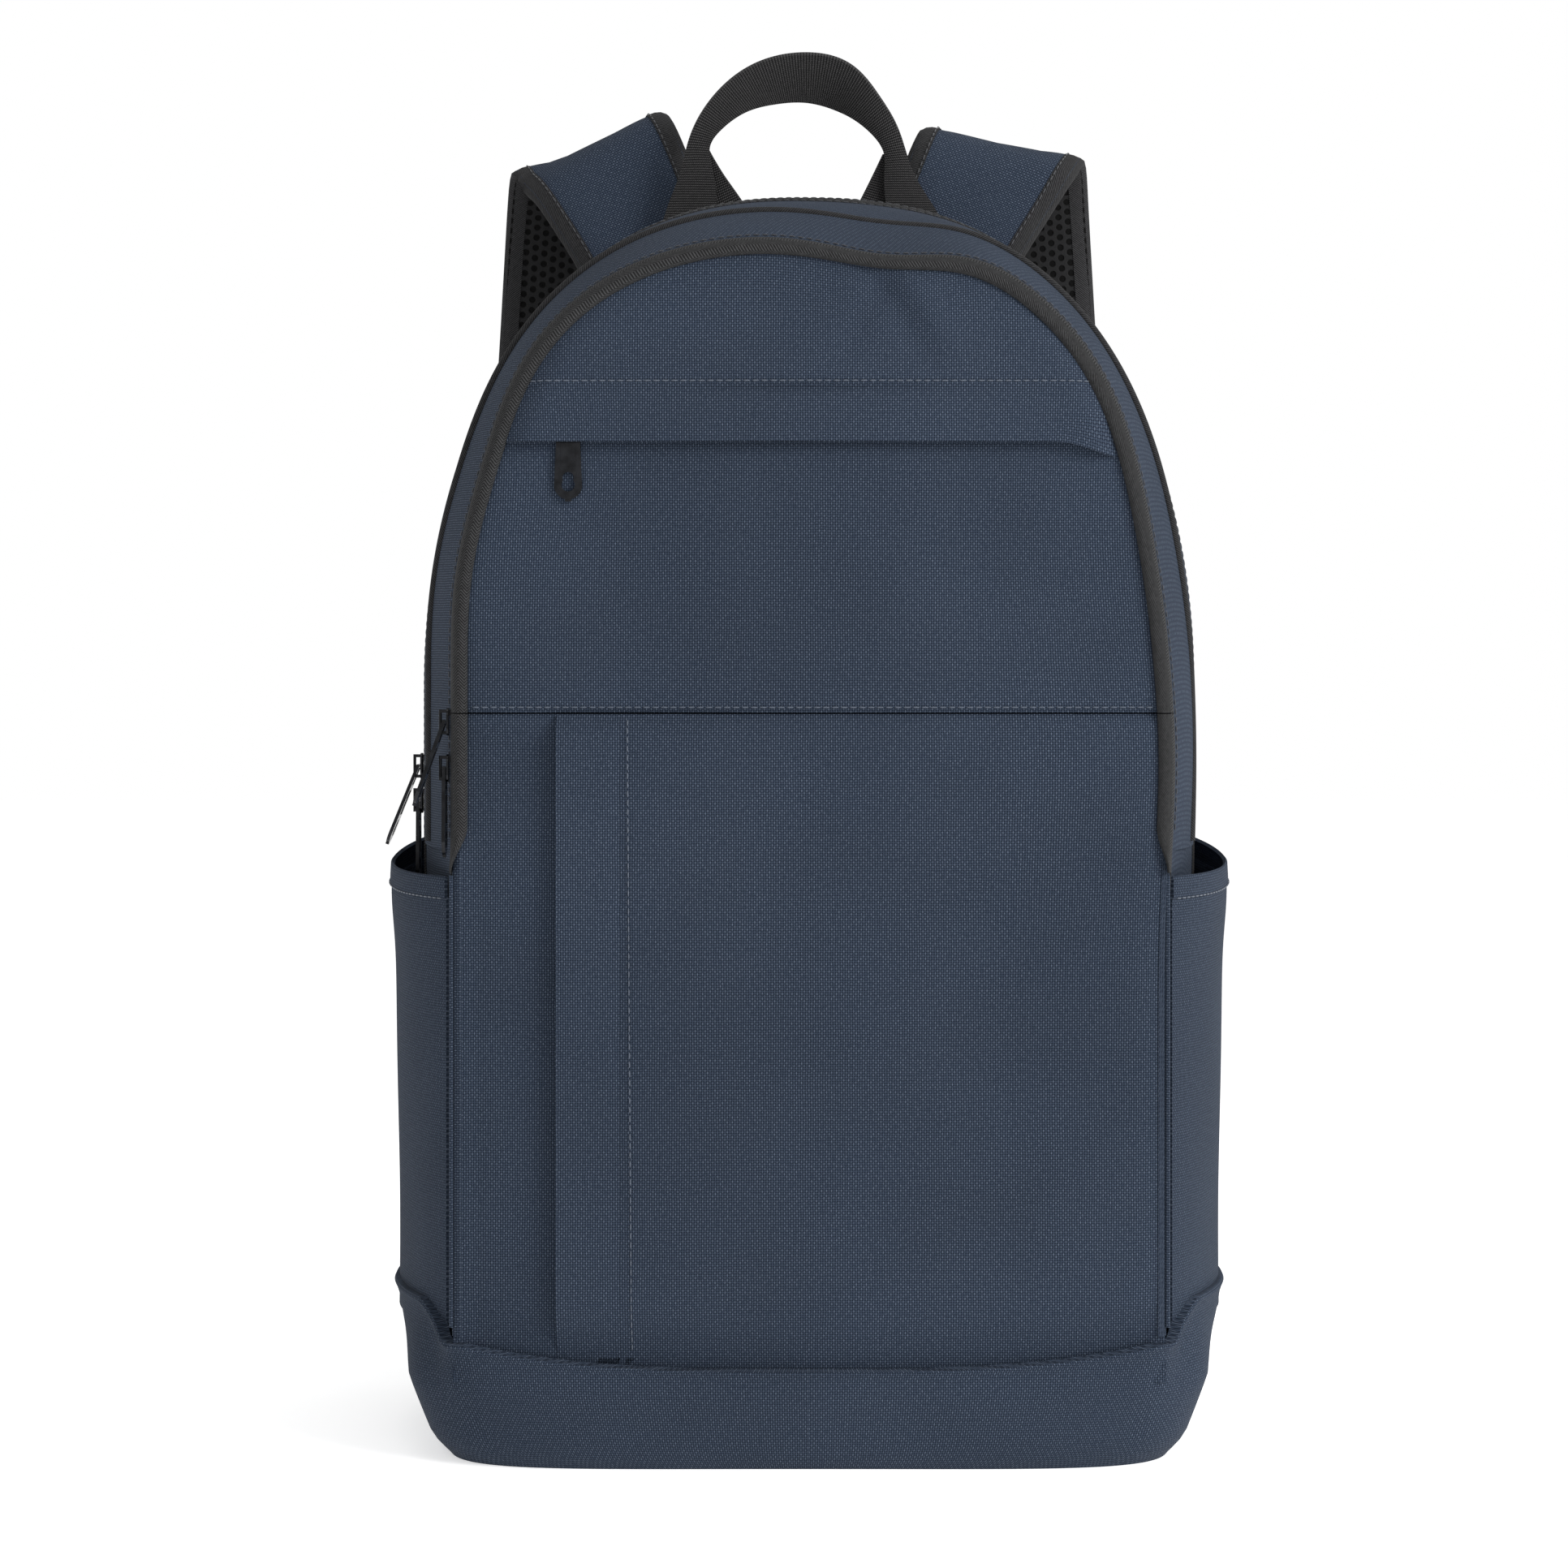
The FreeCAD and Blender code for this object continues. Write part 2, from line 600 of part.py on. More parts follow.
def haul_loop():
    """Webbing handle: upright feet, folded necks and a broad crown that faces forward and up."""
    left_x, right_x, foot_z, foot_y = -44.0, 37.0, 453.0, 77.5
    stations = [(left_x, foot_z, 0.0, 23.0, 3.4, 0.0), (left_x + 1, foot_z + 14, 0.0, 17.0, 4.2, 0.0),
                (left_x + 3, foot_z + 28, 0.0, 12.0, 5.2, 4.0), (left_x + 12, foot_z + 42, 38.0, 17.0, 3.0, 30.0),
                (left_x + 30, foot_z + 52, 66.0, 23.0, 2.2, 42.0), (-2.0, foot_z + 55, 90.0, 25.0, 2.0, 45.0),
                (right_x - 30, foot_z + 51.5, 114.0, 23.0, 2.2, 42.0),
                (right_x - 12, foot_z + 42, 142.0, 17.0, 3.0, 30.0),
                (right_x - 3, foot_z + 28, 180.0, 12.0, 5.2, 4.0),
                (right_x - 1, foot_z + 14, 180.0, 17.0, 4.2, 0.0), (right_x, foot_z, 180.0, 23.0, 3.4, 0.0)]
    path = Part.BSplineCurve()
    path.interpolate([vec(x, turn, z) for x, z, turn, width, thick, tilt in stations])
    form = Part.BSplineCurve()
    form.interpolate(Points=[vec(width, thick, tilt) for x, z, turn, width, thick, tilt in stations],
                     Parameters=list(path.getKnots()))
    sections = []
    for i in range(LOOP_STATIONS + 1):
        at = path.FirstParameter + (path.LastParameter - path.FirstParameter) * i / LOOP_STATIONS
        place, shape = path.value(at), form.value(at)
        turn, tilt = math.radians(place.y), math.radians(shape.z)
        radial = vec(-math.cos(turn), 0, math.sin(turn))
        across = radial * math.cos(tilt) - vec(0, 1, 0) * math.sin(tilt)
        normal = vec(0, 1, 0) * math.cos(tilt) + radial * math.sin(tilt)
        sections.append(section_corners(vec(place.x, foot_y, place.z), across, normal, shape.x, shape.y))
    return ribbon(sections)


# ---------------------------------------------------------------- sliders and pulls

def slider(crosswise):
    """Zip slider in its own frame: outward is -Y, the bail's bar runs along Z, the tape surface is at y = 0."""
    half_l, half_w = SLIDER_LENGTH / 2, SLIDER_WIDTH / 2
    plates = []
    for near, far in (TOP_PLATE, LOW_PLATE):
        plate = box(-half_w, half_w, -far, -near, -half_l, half_l)
        uprights = [e for e in plate.Edges if abs(e.BoundBox.YLength - (far - near)) < 0.01]
        plates.append(plate.makeFillet(2.4, uprights))
    neck = box(-NECK_WIDTH / 2, NECK_WIDTH / 2, -TOP_PLATE[0], -LOW_PLATE[1], 2.2, 4.2)
    body = plates[0].fuse(neck).fuse(plates[1])
    if crosswise:
        body = body.rotate(vec(0, 0, 0), vec(0, 1, 0), 90)
    half_b = BAIL_WIDTH / 2
    bar = box(-half_b, half_b, -BAIL_BAR[1], -BAIL_BAR[0], -BAIL_HALF, BAIL_HALF)
    bar = bar.makeFillet(0.4, [e for e in bar.Edges if e.BoundBox.ZLength > 5])
    low_post = box(-half_b, half_b, -BAIL_BAR[0] - 0.3, -TOP_PLATE[1] + 0.2, -BAIL_HALF, -BAIL_HALF + BAIL_POST)
    high_post = box(-half_b, half_b, -BAIL_BAR[0] - 0.3, -TOP_PLATE[1] + 0.2, BAIL_HALF - BAIL_POST, BAIL_HALF)
    return body.fuse(bar).fuse(low_post).fuse(high_post).removeSplitter()


def pull():
    """Pull tab hanging from its cross bar, in the slider's frame: the bar is at the origin."""
    top, low = PULL_TOP_WIDTH / 2, PULL_LOW_WIDTH / 2
    tip = -(PULL_LENGTH - PULL_BAR_R)
    half = PULL_THICK / 2
    edges = [Part.makeLine(vec(-top, 0, 0), vec(top, 0, 0)), Part.makeLine(vec(top, 0, 0), vec(low, 0, tip + low)),
             Part.Arc(vec(low, 0, tip + low), vec(0, 0, tip), vec(-low, 0, tip + low)).toShape(),
             Part.makeLine(vec(-low, 0, tip + low), vec(-top, 0, 0))]
    plate = Part.Face(Part.Wire(edges)).extrude(vec(0, PULL_THICK, 0))
    plate.translate(vec(0, -half, 0))
    slot = box(-1.9, 1.9, -2, 2, -7.4, 1.0)
    hole = Part.makeCylinder(2.3, 4, vec(0, -2, tip + low + 0.2), vec(0, 1, 0))
    hole = hole.fuse(Part.makeCylinder(2.0, 4, vec(0, -2, tip + low + 2.6), vec(0, 1, 0)))
    recess_low, recess_high = tip + low + 6.4, -9.4
    recess = []
    for y0 in (-half - 0.5, half - 0.35):
        recess.append(box(-2.7, 2.7, y0, y0 + 0.85, recess_low, recess_high))
    plate = plate.cut(slot).cut(hole).cut(recess[0]).cut(recess[1])
    bar = Part.makeCylinder(PULL_BAR_R, PULL_TOP_WIDTH, vec(-top, 0, 0), vec(1, 0, 0))
    nub = box(-1.1, 1.1, -half, half, tip - 0.7, tip + 0.6)
    return plate.fuse(bar).fuse(nub).removeSplitter()


def placed(shape, point, turn_deg):
    """Turns a piece about the upright through its origin, then moves it to its place."""
    piece = shape.copy()
    piece.rotate(vec(0, 0, 0), vec(0, 0, 1), turn_deg)
    piece.translate(point)
    return piece


def slider_and_pull(point, turn_deg, tilt_deg=0.0, crosswise=False):
    """A slider on the tape at a point, and its pull swung outward by a tilt."""
    tab = pull()
    tab.rotate(vec(0, 0, 0), vec(1, 0, 0), -tilt_deg)
    tab.translate(vec(0, -PIVOT_OUT, 0))
    return placed(slider(crosswise), point, turn_deg), placed(tab, point, turn_deg)


def write(name, shape):
    solids = shape.Solids
    kept = solids[0] if len(solids) == 1 else Part.makeCompound(solids)
    if not solids or not kept.isValid():
        print("check", name, len(solids))
    kept.exportStep("parts/" + name + ".step")
    print(f"{name:28s} {len(solids)} solids {kept.Volume / 1000:9.2f} cm3")


def main():
    os.makedirs("parts", exist_ok=True)
    tray = front_tray()
    write("upper_front_panel", upper_front_panel(tray))
    write("pocket_cover", pocket_cover())
    write("pocket_zip_upper_half", pocket_zip_half(1))
    write("pocket_zip_lower_half", pocket_zip_half(-1))
    write("pocket_bag", pocket_bag())
    write("lower_front_panel", lower_front_panel(tray))
    write("placket_side_panel", placket_side_panel(tray))
    write("placket_cover", placket_cover())
    write("placket_zip_left_half", placket_zip_half(-1))
    write("placket_zip_right_half", placket_zip_half(1))
    write("placket_bag", placket_bag())

    front_half = arched_zip_half(FRONT_ZIP_Y, -1)
    write("front_zip_flap_half", above(front_half, CROSS_SEAM_Z + SEAM_GAP))
    write("front_zip_lower_ends", below(front_half, CROSS_SEAM_Z - SEAM_GAP))
    write("front_zip_gusset_half", arched_zip_half(FRONT_ZIP_Y, 1))
    write("rear_zip_front_half", arched_zip_half(REAR_ZIP_Y, -1))
    write("rear_zip_back_half", arched_zip_half(REAR_ZIP_Y, 1))
    zip_reach = ZIP_GAP / 2 + TAPE_WIDTH
    write("middle_gusset", gusset(FRONT_ZIP_Y + zip_reach, REAR_ZIP_Y - zip_reach))
    write("rear_gusset", gusset(REAR_ZIP_Y + zip_reach, BACK_Y))

    write("base_panel", base_panel())
    write("base_board", base_board())
    write("compartment_divider", compartment_divider())
    write("laptop_sleeve", laptop_sleeve())
    write("back_panel", back_panel())
    write("back_foam", back_foam())
    write("back_mesh", back_mesh())
    write("strap_yoke", strap_yoke())
    write("haul_loop", haul_loop())

    for sign, side in ((-1, "left"), (1, "right")):
        write("side_panel_" + side, side_panel(sign))
        write("side_pocket_" + side, side_pocket(sign))
        foam, canvas, mesh, binding = strap_pieces(sign)
        write("strap_foam_" + side, foam)
        write("strap_canvas_" + side, canvas)
        write("strap_mesh_" + side, mesh)
        write("strap_binding_" + side, binding)
        write("ladder_lock_" + side, ladder_lock(sign))
        write("lock_tab_" + side, lock_tab(sign))
        write("strap_anchor_" + side, strap_anchor(sign))
        write("lower_webbing_" + side, lower_webbing(sign))

    front_x = -HALF_WIDTHS[0]
    rear_x = -HALF_WIDTHS[1]
    sliders = {
        "front_upper": (vec(front_x, FRONT_ZIP_Y, FRONT_UPPER_SLIDER_Z), -90, FRONT_UPPER_TILT, False),
        "front_lower": (vec(front_x, FRONT_ZIP_Y, FRONT_LOWER_SLIDER_Z), -90, 0.0, False),
        "rear_upper": (vec(rear_x, REAR_ZIP_Y, REAR_UPPER_SLIDER_Z), -90, REAR_UPPER_TILT, False),
        "rear_lower": (vec(rear_x, REAR_ZIP_Y, REAR_LOWER_SLIDER_Z), -90, 0.0, False),
        "pocket": (vec(POCKET_SLIDER_X, FACE_ZIP_Y, POCKET_ZIP_Z), 0, 0.0, True),
        "placket": (vec(PLACKET_ZIP_X, FACE_ZIP_Y, PLACKET_SLIDER_Z), 0, 0.0, False),
    }
    for name, (point, turn, tilt, crosswise) in sliders.items():
        body, tab = slider_and_pull(point, turn, tilt, crosswise)
        write(name + "_slider", body)
        write(name + "_pull", tab)


main()
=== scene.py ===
"""Looks for the school backpack: shells, padding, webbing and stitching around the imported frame.
The shapes are worked out in millimetres, in the same frame as the CAD, and scaled to metres at the end."""
import math

import bmesh
import bpy
import numpy as np
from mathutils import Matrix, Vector


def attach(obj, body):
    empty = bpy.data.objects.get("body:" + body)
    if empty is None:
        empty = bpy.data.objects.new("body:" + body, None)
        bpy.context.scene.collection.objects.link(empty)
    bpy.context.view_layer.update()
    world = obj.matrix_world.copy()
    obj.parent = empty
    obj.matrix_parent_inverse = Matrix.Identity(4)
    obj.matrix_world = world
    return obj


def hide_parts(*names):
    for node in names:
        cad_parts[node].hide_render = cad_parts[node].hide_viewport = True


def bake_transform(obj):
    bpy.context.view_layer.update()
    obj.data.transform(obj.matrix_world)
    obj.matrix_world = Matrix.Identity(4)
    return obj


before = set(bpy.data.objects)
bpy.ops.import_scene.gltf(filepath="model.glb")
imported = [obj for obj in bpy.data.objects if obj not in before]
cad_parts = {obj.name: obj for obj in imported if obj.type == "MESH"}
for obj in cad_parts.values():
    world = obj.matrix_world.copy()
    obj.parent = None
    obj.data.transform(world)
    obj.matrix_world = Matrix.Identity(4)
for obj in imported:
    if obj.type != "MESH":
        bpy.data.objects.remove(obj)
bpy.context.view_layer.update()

MM = 0.001
UV = "cloth"
CENTRE = np.array((0.0, 0.0, 240.0))

# ------------------------------------------------------------------ outline, as in the CAD source
DEPTHS = (-68.3, 5.0, 74.0)
HALF_WIDTHS = (123.5, 141.0, 137.0)
CROWN_HEIGHTS = (425.0, 450.0, 452.0)
SHOULDER_STARTS = (285.0, 270.0, 262.0)
SHOULDER_RISES = (2.1, 2.0, 2.0)
SHOULDER_RUNS = (3.0, 2.5, 2.5)
POCKET_RECESS, RECESS_TOP, RECESS_RUN = 3.5, 210.0, 60.0
SPLIT_Z = 214.0
SEAM_Z = 262.0
COVER_LOW, COVER_HIGH, COVER_HINGE = 355.5, 377.0, 374.35
FOLD_X, PLACKET_STITCH_X, PLACKET_HINGE_X = -87.0, -62.5, -65.15


def through(y, values):
    a, b, c = DEPTHS
    y = max(y, a)
    va, vb, vc = values
    first = (vb - va) / (b - a)
    second = ((vc - vb) / (c - b) - first) / (c - a)
    return va + first * (y - a) + second * (y - a) * (y - b)


def smooth(v, a, b):
    t = np.clip((np.asarray(v, float) - a) / (b - a), 0, 1)
    return t * t * (3 - 2 * t)


def bump(v, centre, width):
    return np.exp(-((np.asarray(v, float) - centre) / width) ** 2)


def recess(y, z):
    share = min(1.0, max(0.0, (y - DEPTHS[0]) / (DEPTHS[1] - DEPTHS[0])))
    drop = np.clip((RECESS_TOP - z) / RECESS_RUN, 0, 1)
    return POCKET_RECESS * share * (1 - np.cos(np.pi * drop)) / 2


def half_outline(y, grow, floor, count):
    """Evenly spaced (x, z) from the floor up the right side to the crown."""
    width, crown = through(y, HALF_WIDTHS) + grow, through(y, CROWN_HEIGHTS) + grow
    start, rise, run = (through(y, v) for v in (SHOULDER_STARTS, SHOULDER_RISES, SHOULDER_RUNS))
    z_side = np.linspace(floor, start, 80, endpoint=False)
    t = np.linspace(0, np.pi / 2, 200)
    x = np.concatenate([width - recess(y, z_side), width * np.clip(np.cos(t), 0, 1) ** (2 / run)])
    z = np.concatenate([z_side, start + (crown - start) * np.sin(t) ** (2 / rise)])
    x[-1] = 0.0
    along = np.concatenate([[0], np.cumsum(np.hypot(np.diff(x), np.diff(z)))])
    at = np.linspace(0, along[-1], count)
    return np.interp(at, along, x), np.interp(at, along, z), along[-1]


def arch_rows(profile, floor, count):
    """Rows of points over the bag, one for each (depth, grow): up the left, over the crown, down again."""
    rows, uv = [], []
    travelled = 0.0
    for i, (y, grow) in enumerate(profile):
        if i:
            travelled += math.hypot(y - profile[i - 1][0], grow - profile[i - 1][1])
        x, z, length = half_outline(y, grow, floor, count)
        row_x = np.concatenate([-x, x[::-1][1:]])
        row_z = np.concatenate([z, z[::-1][1:]])
        rows.append(np.stack([row_x, np.full_like(row_x, y), row_z], -1))
        along = np.linspace(0, 2 * length, len(row_x))
        uv.append(np.stack([along, np.full_like(along, travelled)], -1))
    return np.array(rows), np.array(uv)


WAVES = ((0.031, 0.022, 0.4), (-0.024, 0.047, 1.9), (0.061, -0.018, 3.1), (0.012, 0.083, 4.4),
         (0.093, 0.051, 5.6))


def ripple(a, b):
    """Gentle unevenness of slack cloth, about -1 to 1."""
    return sum(np.sin(a * k + b * m + p) / (1 + i * 0.5) for i, (k, m, p) in enumerate(WAVES)) / 2.2


def settle(p):
    """How the stuffed bag departs from its pattern: uneven sides, a dent in the crown, creases below it."""
    p = np.array(p, float)
    x, y, z = p[..., 0].copy(), p[..., 1].copy(), p[..., 2].copy()
    front = 1 - smooth(y, -66, -8)
    side = np.sign(x) * smooth(np.abs(x), 50, 100)
    p[..., 0] += (front * side * (-2.4 * bump(z, np.where(x > 0, 325, 348), np.where(x > 0, 46, 30)))
                  + front * (x > 0) * side * 2.8 * bump(z, 248, 46))
    dent = bump(x, 27, 24) * smooth(z, 392, 428)
    p[..., 2] -= dent * (4.4 * front + 1.5 * bump(y, -25, 30))
    p[..., 2] += ((1.3 * bump(x, 62, 24) * smooth(z, 385, 420)
                   + 1.6 * bump(x, -18, 34) * smooth(z, 400, 425)) * front)
    return p


# ------------------------------------------------------------------ mesh helpers

def grid_mesh(rows, uv, wrap=False):
    bm = bmesh.new()
    layer = bm.loops.layers.uv.new(UV)
    count_r, count_c = rows.shape[:2]
    verts = [[bm.verts.new(p) for p in row] for row in rows.tolist()]
    coords = uv.tolist()
    last = count_c if wrap else count_c - 1
    for r in range(count_r - 1):
        for c in range(last):
            d = (c + 1) % count_c
            quad = ((r, c), (r, d), (r + 1, d), (r + 1, c))
            face = bm.faces.new([verts[i][j] for i, j in quad])
            for loop, (i, j) in zip(face.loops, quad):
                u, v = coords[i][j]
                if wrap and d == 0 and j == 0:
                    u = coords[i][-1][0] + (coords[i][1][0] - coords[i][0][0])
                loop[layer].uv = (u * MM, v * MM)
    return bm


def cap(bm, loop_start, loop_end, total):
    bm.verts.ensure_lookup_table()
    for start in (loop_start, loop_end):
        try:
            bm.faces.new([bm.verts[start + i] for i in range(total)])
        except ValueError:
            pass


def split(bm, axis, value, drop=None):
    """Cuts along a plane; drop says which side goes: above, below or neither."""
    no = Vector((0, 0, 0))
    no["xyz".index(axis)] = 1
    co = Vector((0, 0, 0))
    co["xyz".index(axis)] = value
    bmesh.ops.bisect_plane(bm, geom=bm.verts[:] + bm.edges[:] + bm.faces[:], plane_co=co, plane_no=no,
                           clear_inner=drop == "below", clear_outer=drop == "above")


def reshape(bm, fn):
    co = np.array([v.co[:] for v in bm.verts])
    for v, p in zip(bm.verts, fn(co)):
        v.co = p


def piece(bm, name, body, material, replaces=(), thick=0.0, inward=CENTRE, sharp=42):
    """Turns a mesh in millimetres into a finished piece that rides on a body."""
    lean = 0.0
    for f in bm.faces:
        f.smooth = True
        f.normal_update()
        if inward is not None:
            lean += f.normal.dot(f.calc_center_median() - Vector(inward)) * f.calc_area()
    if inward is None:
        bmesh.ops.recalc_face_normals(bm, faces=bm.faces[:])
    elif lean < 0:
        bmesh.ops.reverse_faces(bm, faces=bm.faces[:])
    for v in bm.verts:
        v.co *= MM
    mesh = bpy.data.meshes.new(name)
    bm.to_mesh(mesh)
    bm.free()
    obj = bpy.data.objects.new(name, mesh)
    bpy.context.scene.collection.objects.link(obj)
    if thick:
        solid = obj.modifiers.new("thickness", "SOLIDIFY")
        solid.thickness = thick * MM
        solid.offset = -1
        solid.use_even_offset = False
    bake(obj)
    obj.data.set_sharp_from_angle(angle=math.radians(sharp))
    paint(obj, material)
    if body:
        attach(obj, body)
    if replaces:
        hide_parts(*replaces)
    return obj


def paint(obj, material):
    """Gives an object one material in place of those it has."""
    obj.data.materials.clear()
    obj.data.materials.append(material)


def bake(obj):
    """Applies the modifiers to the mesh."""
    if not obj.modifiers:
        return
    evaluated = obj.evaluated_get(bpy.context.evaluated_depsgraph_get())
    mesh = bpy.data.meshes.new_from_object(evaluated)
    obj.modifiers.clear()
    obj.data = mesh


def run_length(points):
    """Distance travelled along a line of points, starting at 0."""
    return np.concatenate([[0], np.cumsum(np.linalg.norm(np.diff(points, axis=0), axis=1))])


def directions(points):
    """Unit vectors along a line of points."""
    run = np.gradient(points, axis=0)
    return run / np.linalg.norm(run, axis=1, keepdims=True)


def resample(points, step=None, count=None):
    points = np.array(points, float)
    along = run_length(points)
    count = count or max(2, int(along[-1] / step) + 1)
    at = np.linspace(0, along[-1], count)
    return np.stack([np.interp(at, along, points[:, k]) for k in range(3)], -1)


def spline(points, count):
    """Natural cubic through the points, spaced by distance."""
    p = np.array(points, float)
    n = len(p)
    t = run_length(p[:, :3])
    h = np.diff(t)
    a = np.zeros((n, n))
    rhs = np.zeros_like(p)
    a[0, 0] = a[-1, -1] = 1
    for i in range(1, n - 1):
        a[i, i - 1:i + 2] = h[i - 1], 2 * (h[i - 1] + h[i]), h[i]
        rhs[i] = 6 * ((p[i + 1] - p[i]) / h[i] - (p[i] - p[i - 1]) / h[i - 1])
    m = np.linalg.solve(a, rhs)
    at = np.linspace(0, t[-1], count)
    k = np.clip(np.searchsorted(t, at) - 1, 0, n - 2)
    u, w = (t[k + 1] - at)[:, None], (at - t[k])[:, None]
    hk = h[k][:, None]
    return ((m[k] * u ** 3 + m[k + 1] * w ** 3) / (6 * hk) + (p[k] / hk - m[k] * hk / 6) * u
            + (p[k + 1] / hk - m[k + 1] * hk / 6) * w)


def arc_points(a, b, c, count):
    """Evenly spaced points on the circle through three points."""
    (ax, ay), (bx, by), (cx, cy) = a, b, c
    d = 2 * (ax * (by - cy) + bx * (cy - ay) + cx * (ay - by))
    ux = ((ax * ax + ay * ay) * (by - cy) + (bx * bx + by * by) * (cy - ay)
          + (cx * cx + cy * cy) * (ay - by)) / d
    uy = ((ax * ax + ay * ay) * (cx - bx) + (bx * bx + by * by) * (ax - cx)
          + (cx * cx + cy * cy) * (bx - ax)) / d
    r = math.hypot(ax - ux, ay - uy)
    t0, t1 = math.atan2(ay - uy, ax - ux), math.atan2(cy - uy, cx - ux)
    t = np.linspace(t0, t1, count)
    return np.stack([ux + r * np.cos(t), uy + r * np.sin(t)], -1)


# ------------------------------------------------------------------ materials

class Shader:
    """A small builder for one procedural material."""

    def __init__(self, name, roughness=0.8, metallic=0.0, sheen=0.0, ior=1.45, specular=0.5):
        self.mat = bpy.data.materials.new(name)
        self.mat.use_nodes = True
        self.tree = self.mat.node_tree
        self.shader = self.tree.nodes["Principled BSDF"]
        self.shader.inputs["Roughness"].default_value = roughness
        self.shader.inputs["Metallic"].default_value = metallic
        self.shader.inputs["Sheen Weight"].default_value = sheen
        self.shader.inputs["Sheen Roughness"].default_value = 0.5
        self.shader.inputs["Specular IOR Level"].default_value = specular
        self.shader.inputs["IOR"].default_value = ior

    def node(self, kind, props=None, **inputs):
        made = self.tree.nodes.new(kind)
        for key, value in (props or {}).items():
            setattr(made, key, value)
        for key, value in inputs.items():
            self.put(made.inputs[key.replace("_", " ")], value)
        return made

    def put(self, socket, value):
        if isinstance(value, bpy.types.NodeSocket):
            self.tree.links.new(value, socket)
        else:
            socket.default_value = value

    def math(self, op, a, b=0.0):
        made = self.tree.nodes.new("ShaderNodeMath")
        made.operation = op
        self.put(made.inputs[0], a)
        self.put(made.inputs[1], b)
        return made.outputs[0]

    def mul(self, a, b):
        return self.math("MULTIPLY", a, b)

    def add(self, a, b):
        return self.math("ADD", a, b)

    def sub(self, a, b):
        return self.math("SUBTRACT", a, b)

    def mix(self, share, a, b, mode="MIX"):
        made = self.tree.nodes.new("ShaderNodeMix")
        made.data_type = "RGBA"
        made.blend_type = mode
        self.put(made.inputs["Factor"], share)
        for name, value in (("A", a), ("B", b)):
            self.put([s for s in made.inputs if s.name == name and s.type == "RGBA"][0],
                     value if isinstance(value, bpy.types.NodeSocket) else (*value, 1.0))
        return [s for s in made.outputs if s.type == "RGBA"][0]

    def noise(self, scale, detail=3.0, vector=None, roughness=0.55):
        made = self.node("ShaderNodeTexNoise", Scale=scale, Detail=detail, Roughness=roughness)
        self.put(made.inputs["Vector"], vector if vector is not None else self.place())
        return made.outputs[0]

    def ramp(self, value, low, high):
        made = self.tree.nodes.new("ShaderNodeMapRange")
        made.interpolation_type = "SMOOTHSTEP"
        for key, v in (("Value", value), ("From Min", low), ("From Max", high)):
            self.put(made.inputs[key], v)
        return made.outputs[0]

    def place(self):
        return self.node("ShaderNodeTexCoord").outputs["Object"]

    def uv(self, wobble=0.0):
        """The cloth's own two directions, in millimetres."""
        at = self.node("ShaderNodeUVMap", props={"uv_map": UV}).outputs[0]
        parts = self.node("ShaderNodeSeparateXYZ")
        self.put(parts.inputs[0], at)
        u, v = (self.mul(parts.outputs[i], 1000.0) for i in (0, 1))
        if wobble:
            u = self.add(u, self.mul(self.sub(self.noise(70, 2), 0.5), wobble))
            v = self.add(v, self.mul(self.sub(self.noise(77, 2), 0.5), wobble))
        return u, v

    def vector(self, x, y, z=0.0):
        made = self.tree.nodes.new("ShaderNodeCombineXYZ")
        for i, value in enumerate((x, y, z)):
            self.put(made.inputs[i], value)
        return made.outputs[0]

    def colour(self, value):
        self.put(self.shader.inputs["Base Color"],
                 value if isinstance(value, bpy.types.NodeSocket) else (*value, 1.0))

    def relief(self, height, depth_mm, strength=0.8):
        made = self.node("ShaderNodeBump", Strength=strength, Distance=depth_mm * MM)
        self.put(made.inputs["Height"], height)
        self.put(self.shader.inputs["Normal"], made.outputs[0])


def wave(s, value, pitch):
    return s.math("COSINE", s.mul(value, math.pi / pitch))


def canvas(name, dark, mid, light, pitch=0.85, painted_highlight_share=0.6, sheen=0.02):
    """Coarse plain weave: darker down in the hollows between yarns as painted shade, with lighter flecks on
    the raised warp yarns as painted highlight.
    """
    s = Shader(name, roughness=0.88, sheen=sheen, specular=0.12)
    u, v = s.uv(wobble=0.6)
    cu, cv = wave(s, u, pitch), wave(s, v, pitch)
    over = s.mul(cu, cv)
    warp = s.mul(s.mul(cu, cu), s.add(s.mul(over, 0.5), 0.5))
    weft = s.mul(s.mul(cv, cv), s.sub(0.5, s.mul(over, 0.5)))
    height = s.math("MAXIMUM", warp, weft)
    slub_u = s.noise(1.0, 2, s.vector(s.mul(u, 0.55), s.mul(v, 1.0)))
    slub_v = s.noise(1.0, 2, s.vector(s.mul(u, 1.0), s.mul(v, 0.55), 7.0))
    yarn = s.mul(s.add(slub_u, slub_v), 0.5)
    # Painted highlight: lighter flecks of yarn on the raised warp tops.
    painted_yarn_highlight = s.mul(s.ramp(yarn, 0.36, 0.60), s.ramp(warp, 0.25, 0.9))
    # Painted shade: the weave goes from mid to dark down into its hollows.
    base = s.mix(s.ramp(height, 0.0, 0.75), dark, mid)
    base = s.mix(s.mul(painted_yarn_highlight, painted_highlight_share), base, light)
    cloud = s.ramp(s.noise(9, 3), 0.32, 0.70)
    shade = s.mix(cloud, (0.90, 0.90, 0.90), (1.08, 1.08, 1.08))
    s.colour(s.mix(1.0, base, shade, "MULTIPLY"))
    s.relief(s.add(height, s.mul(yarn, 0.5)), 0.16, 0.75)
    return s.mat


def along_tape(s):
    u, v = s.uv()
    return s.add(u, s.math("PINGPONG", v, 2.2))


def across_cloth(s):
    u, v = s.uv(wobble=0.4)
    return s.add(u, s.mul(v, 0.8))


def across_object(s):
    """Read off the object's own axes, for pieces that carry no cloth directions."""
    parts = s.node("ShaderNodeSeparateXYZ")
    s.put(parts.inputs[0], s.place())
    return s.add(parts.outputs[0], s.mul(parts.outputs[2], 0.8))


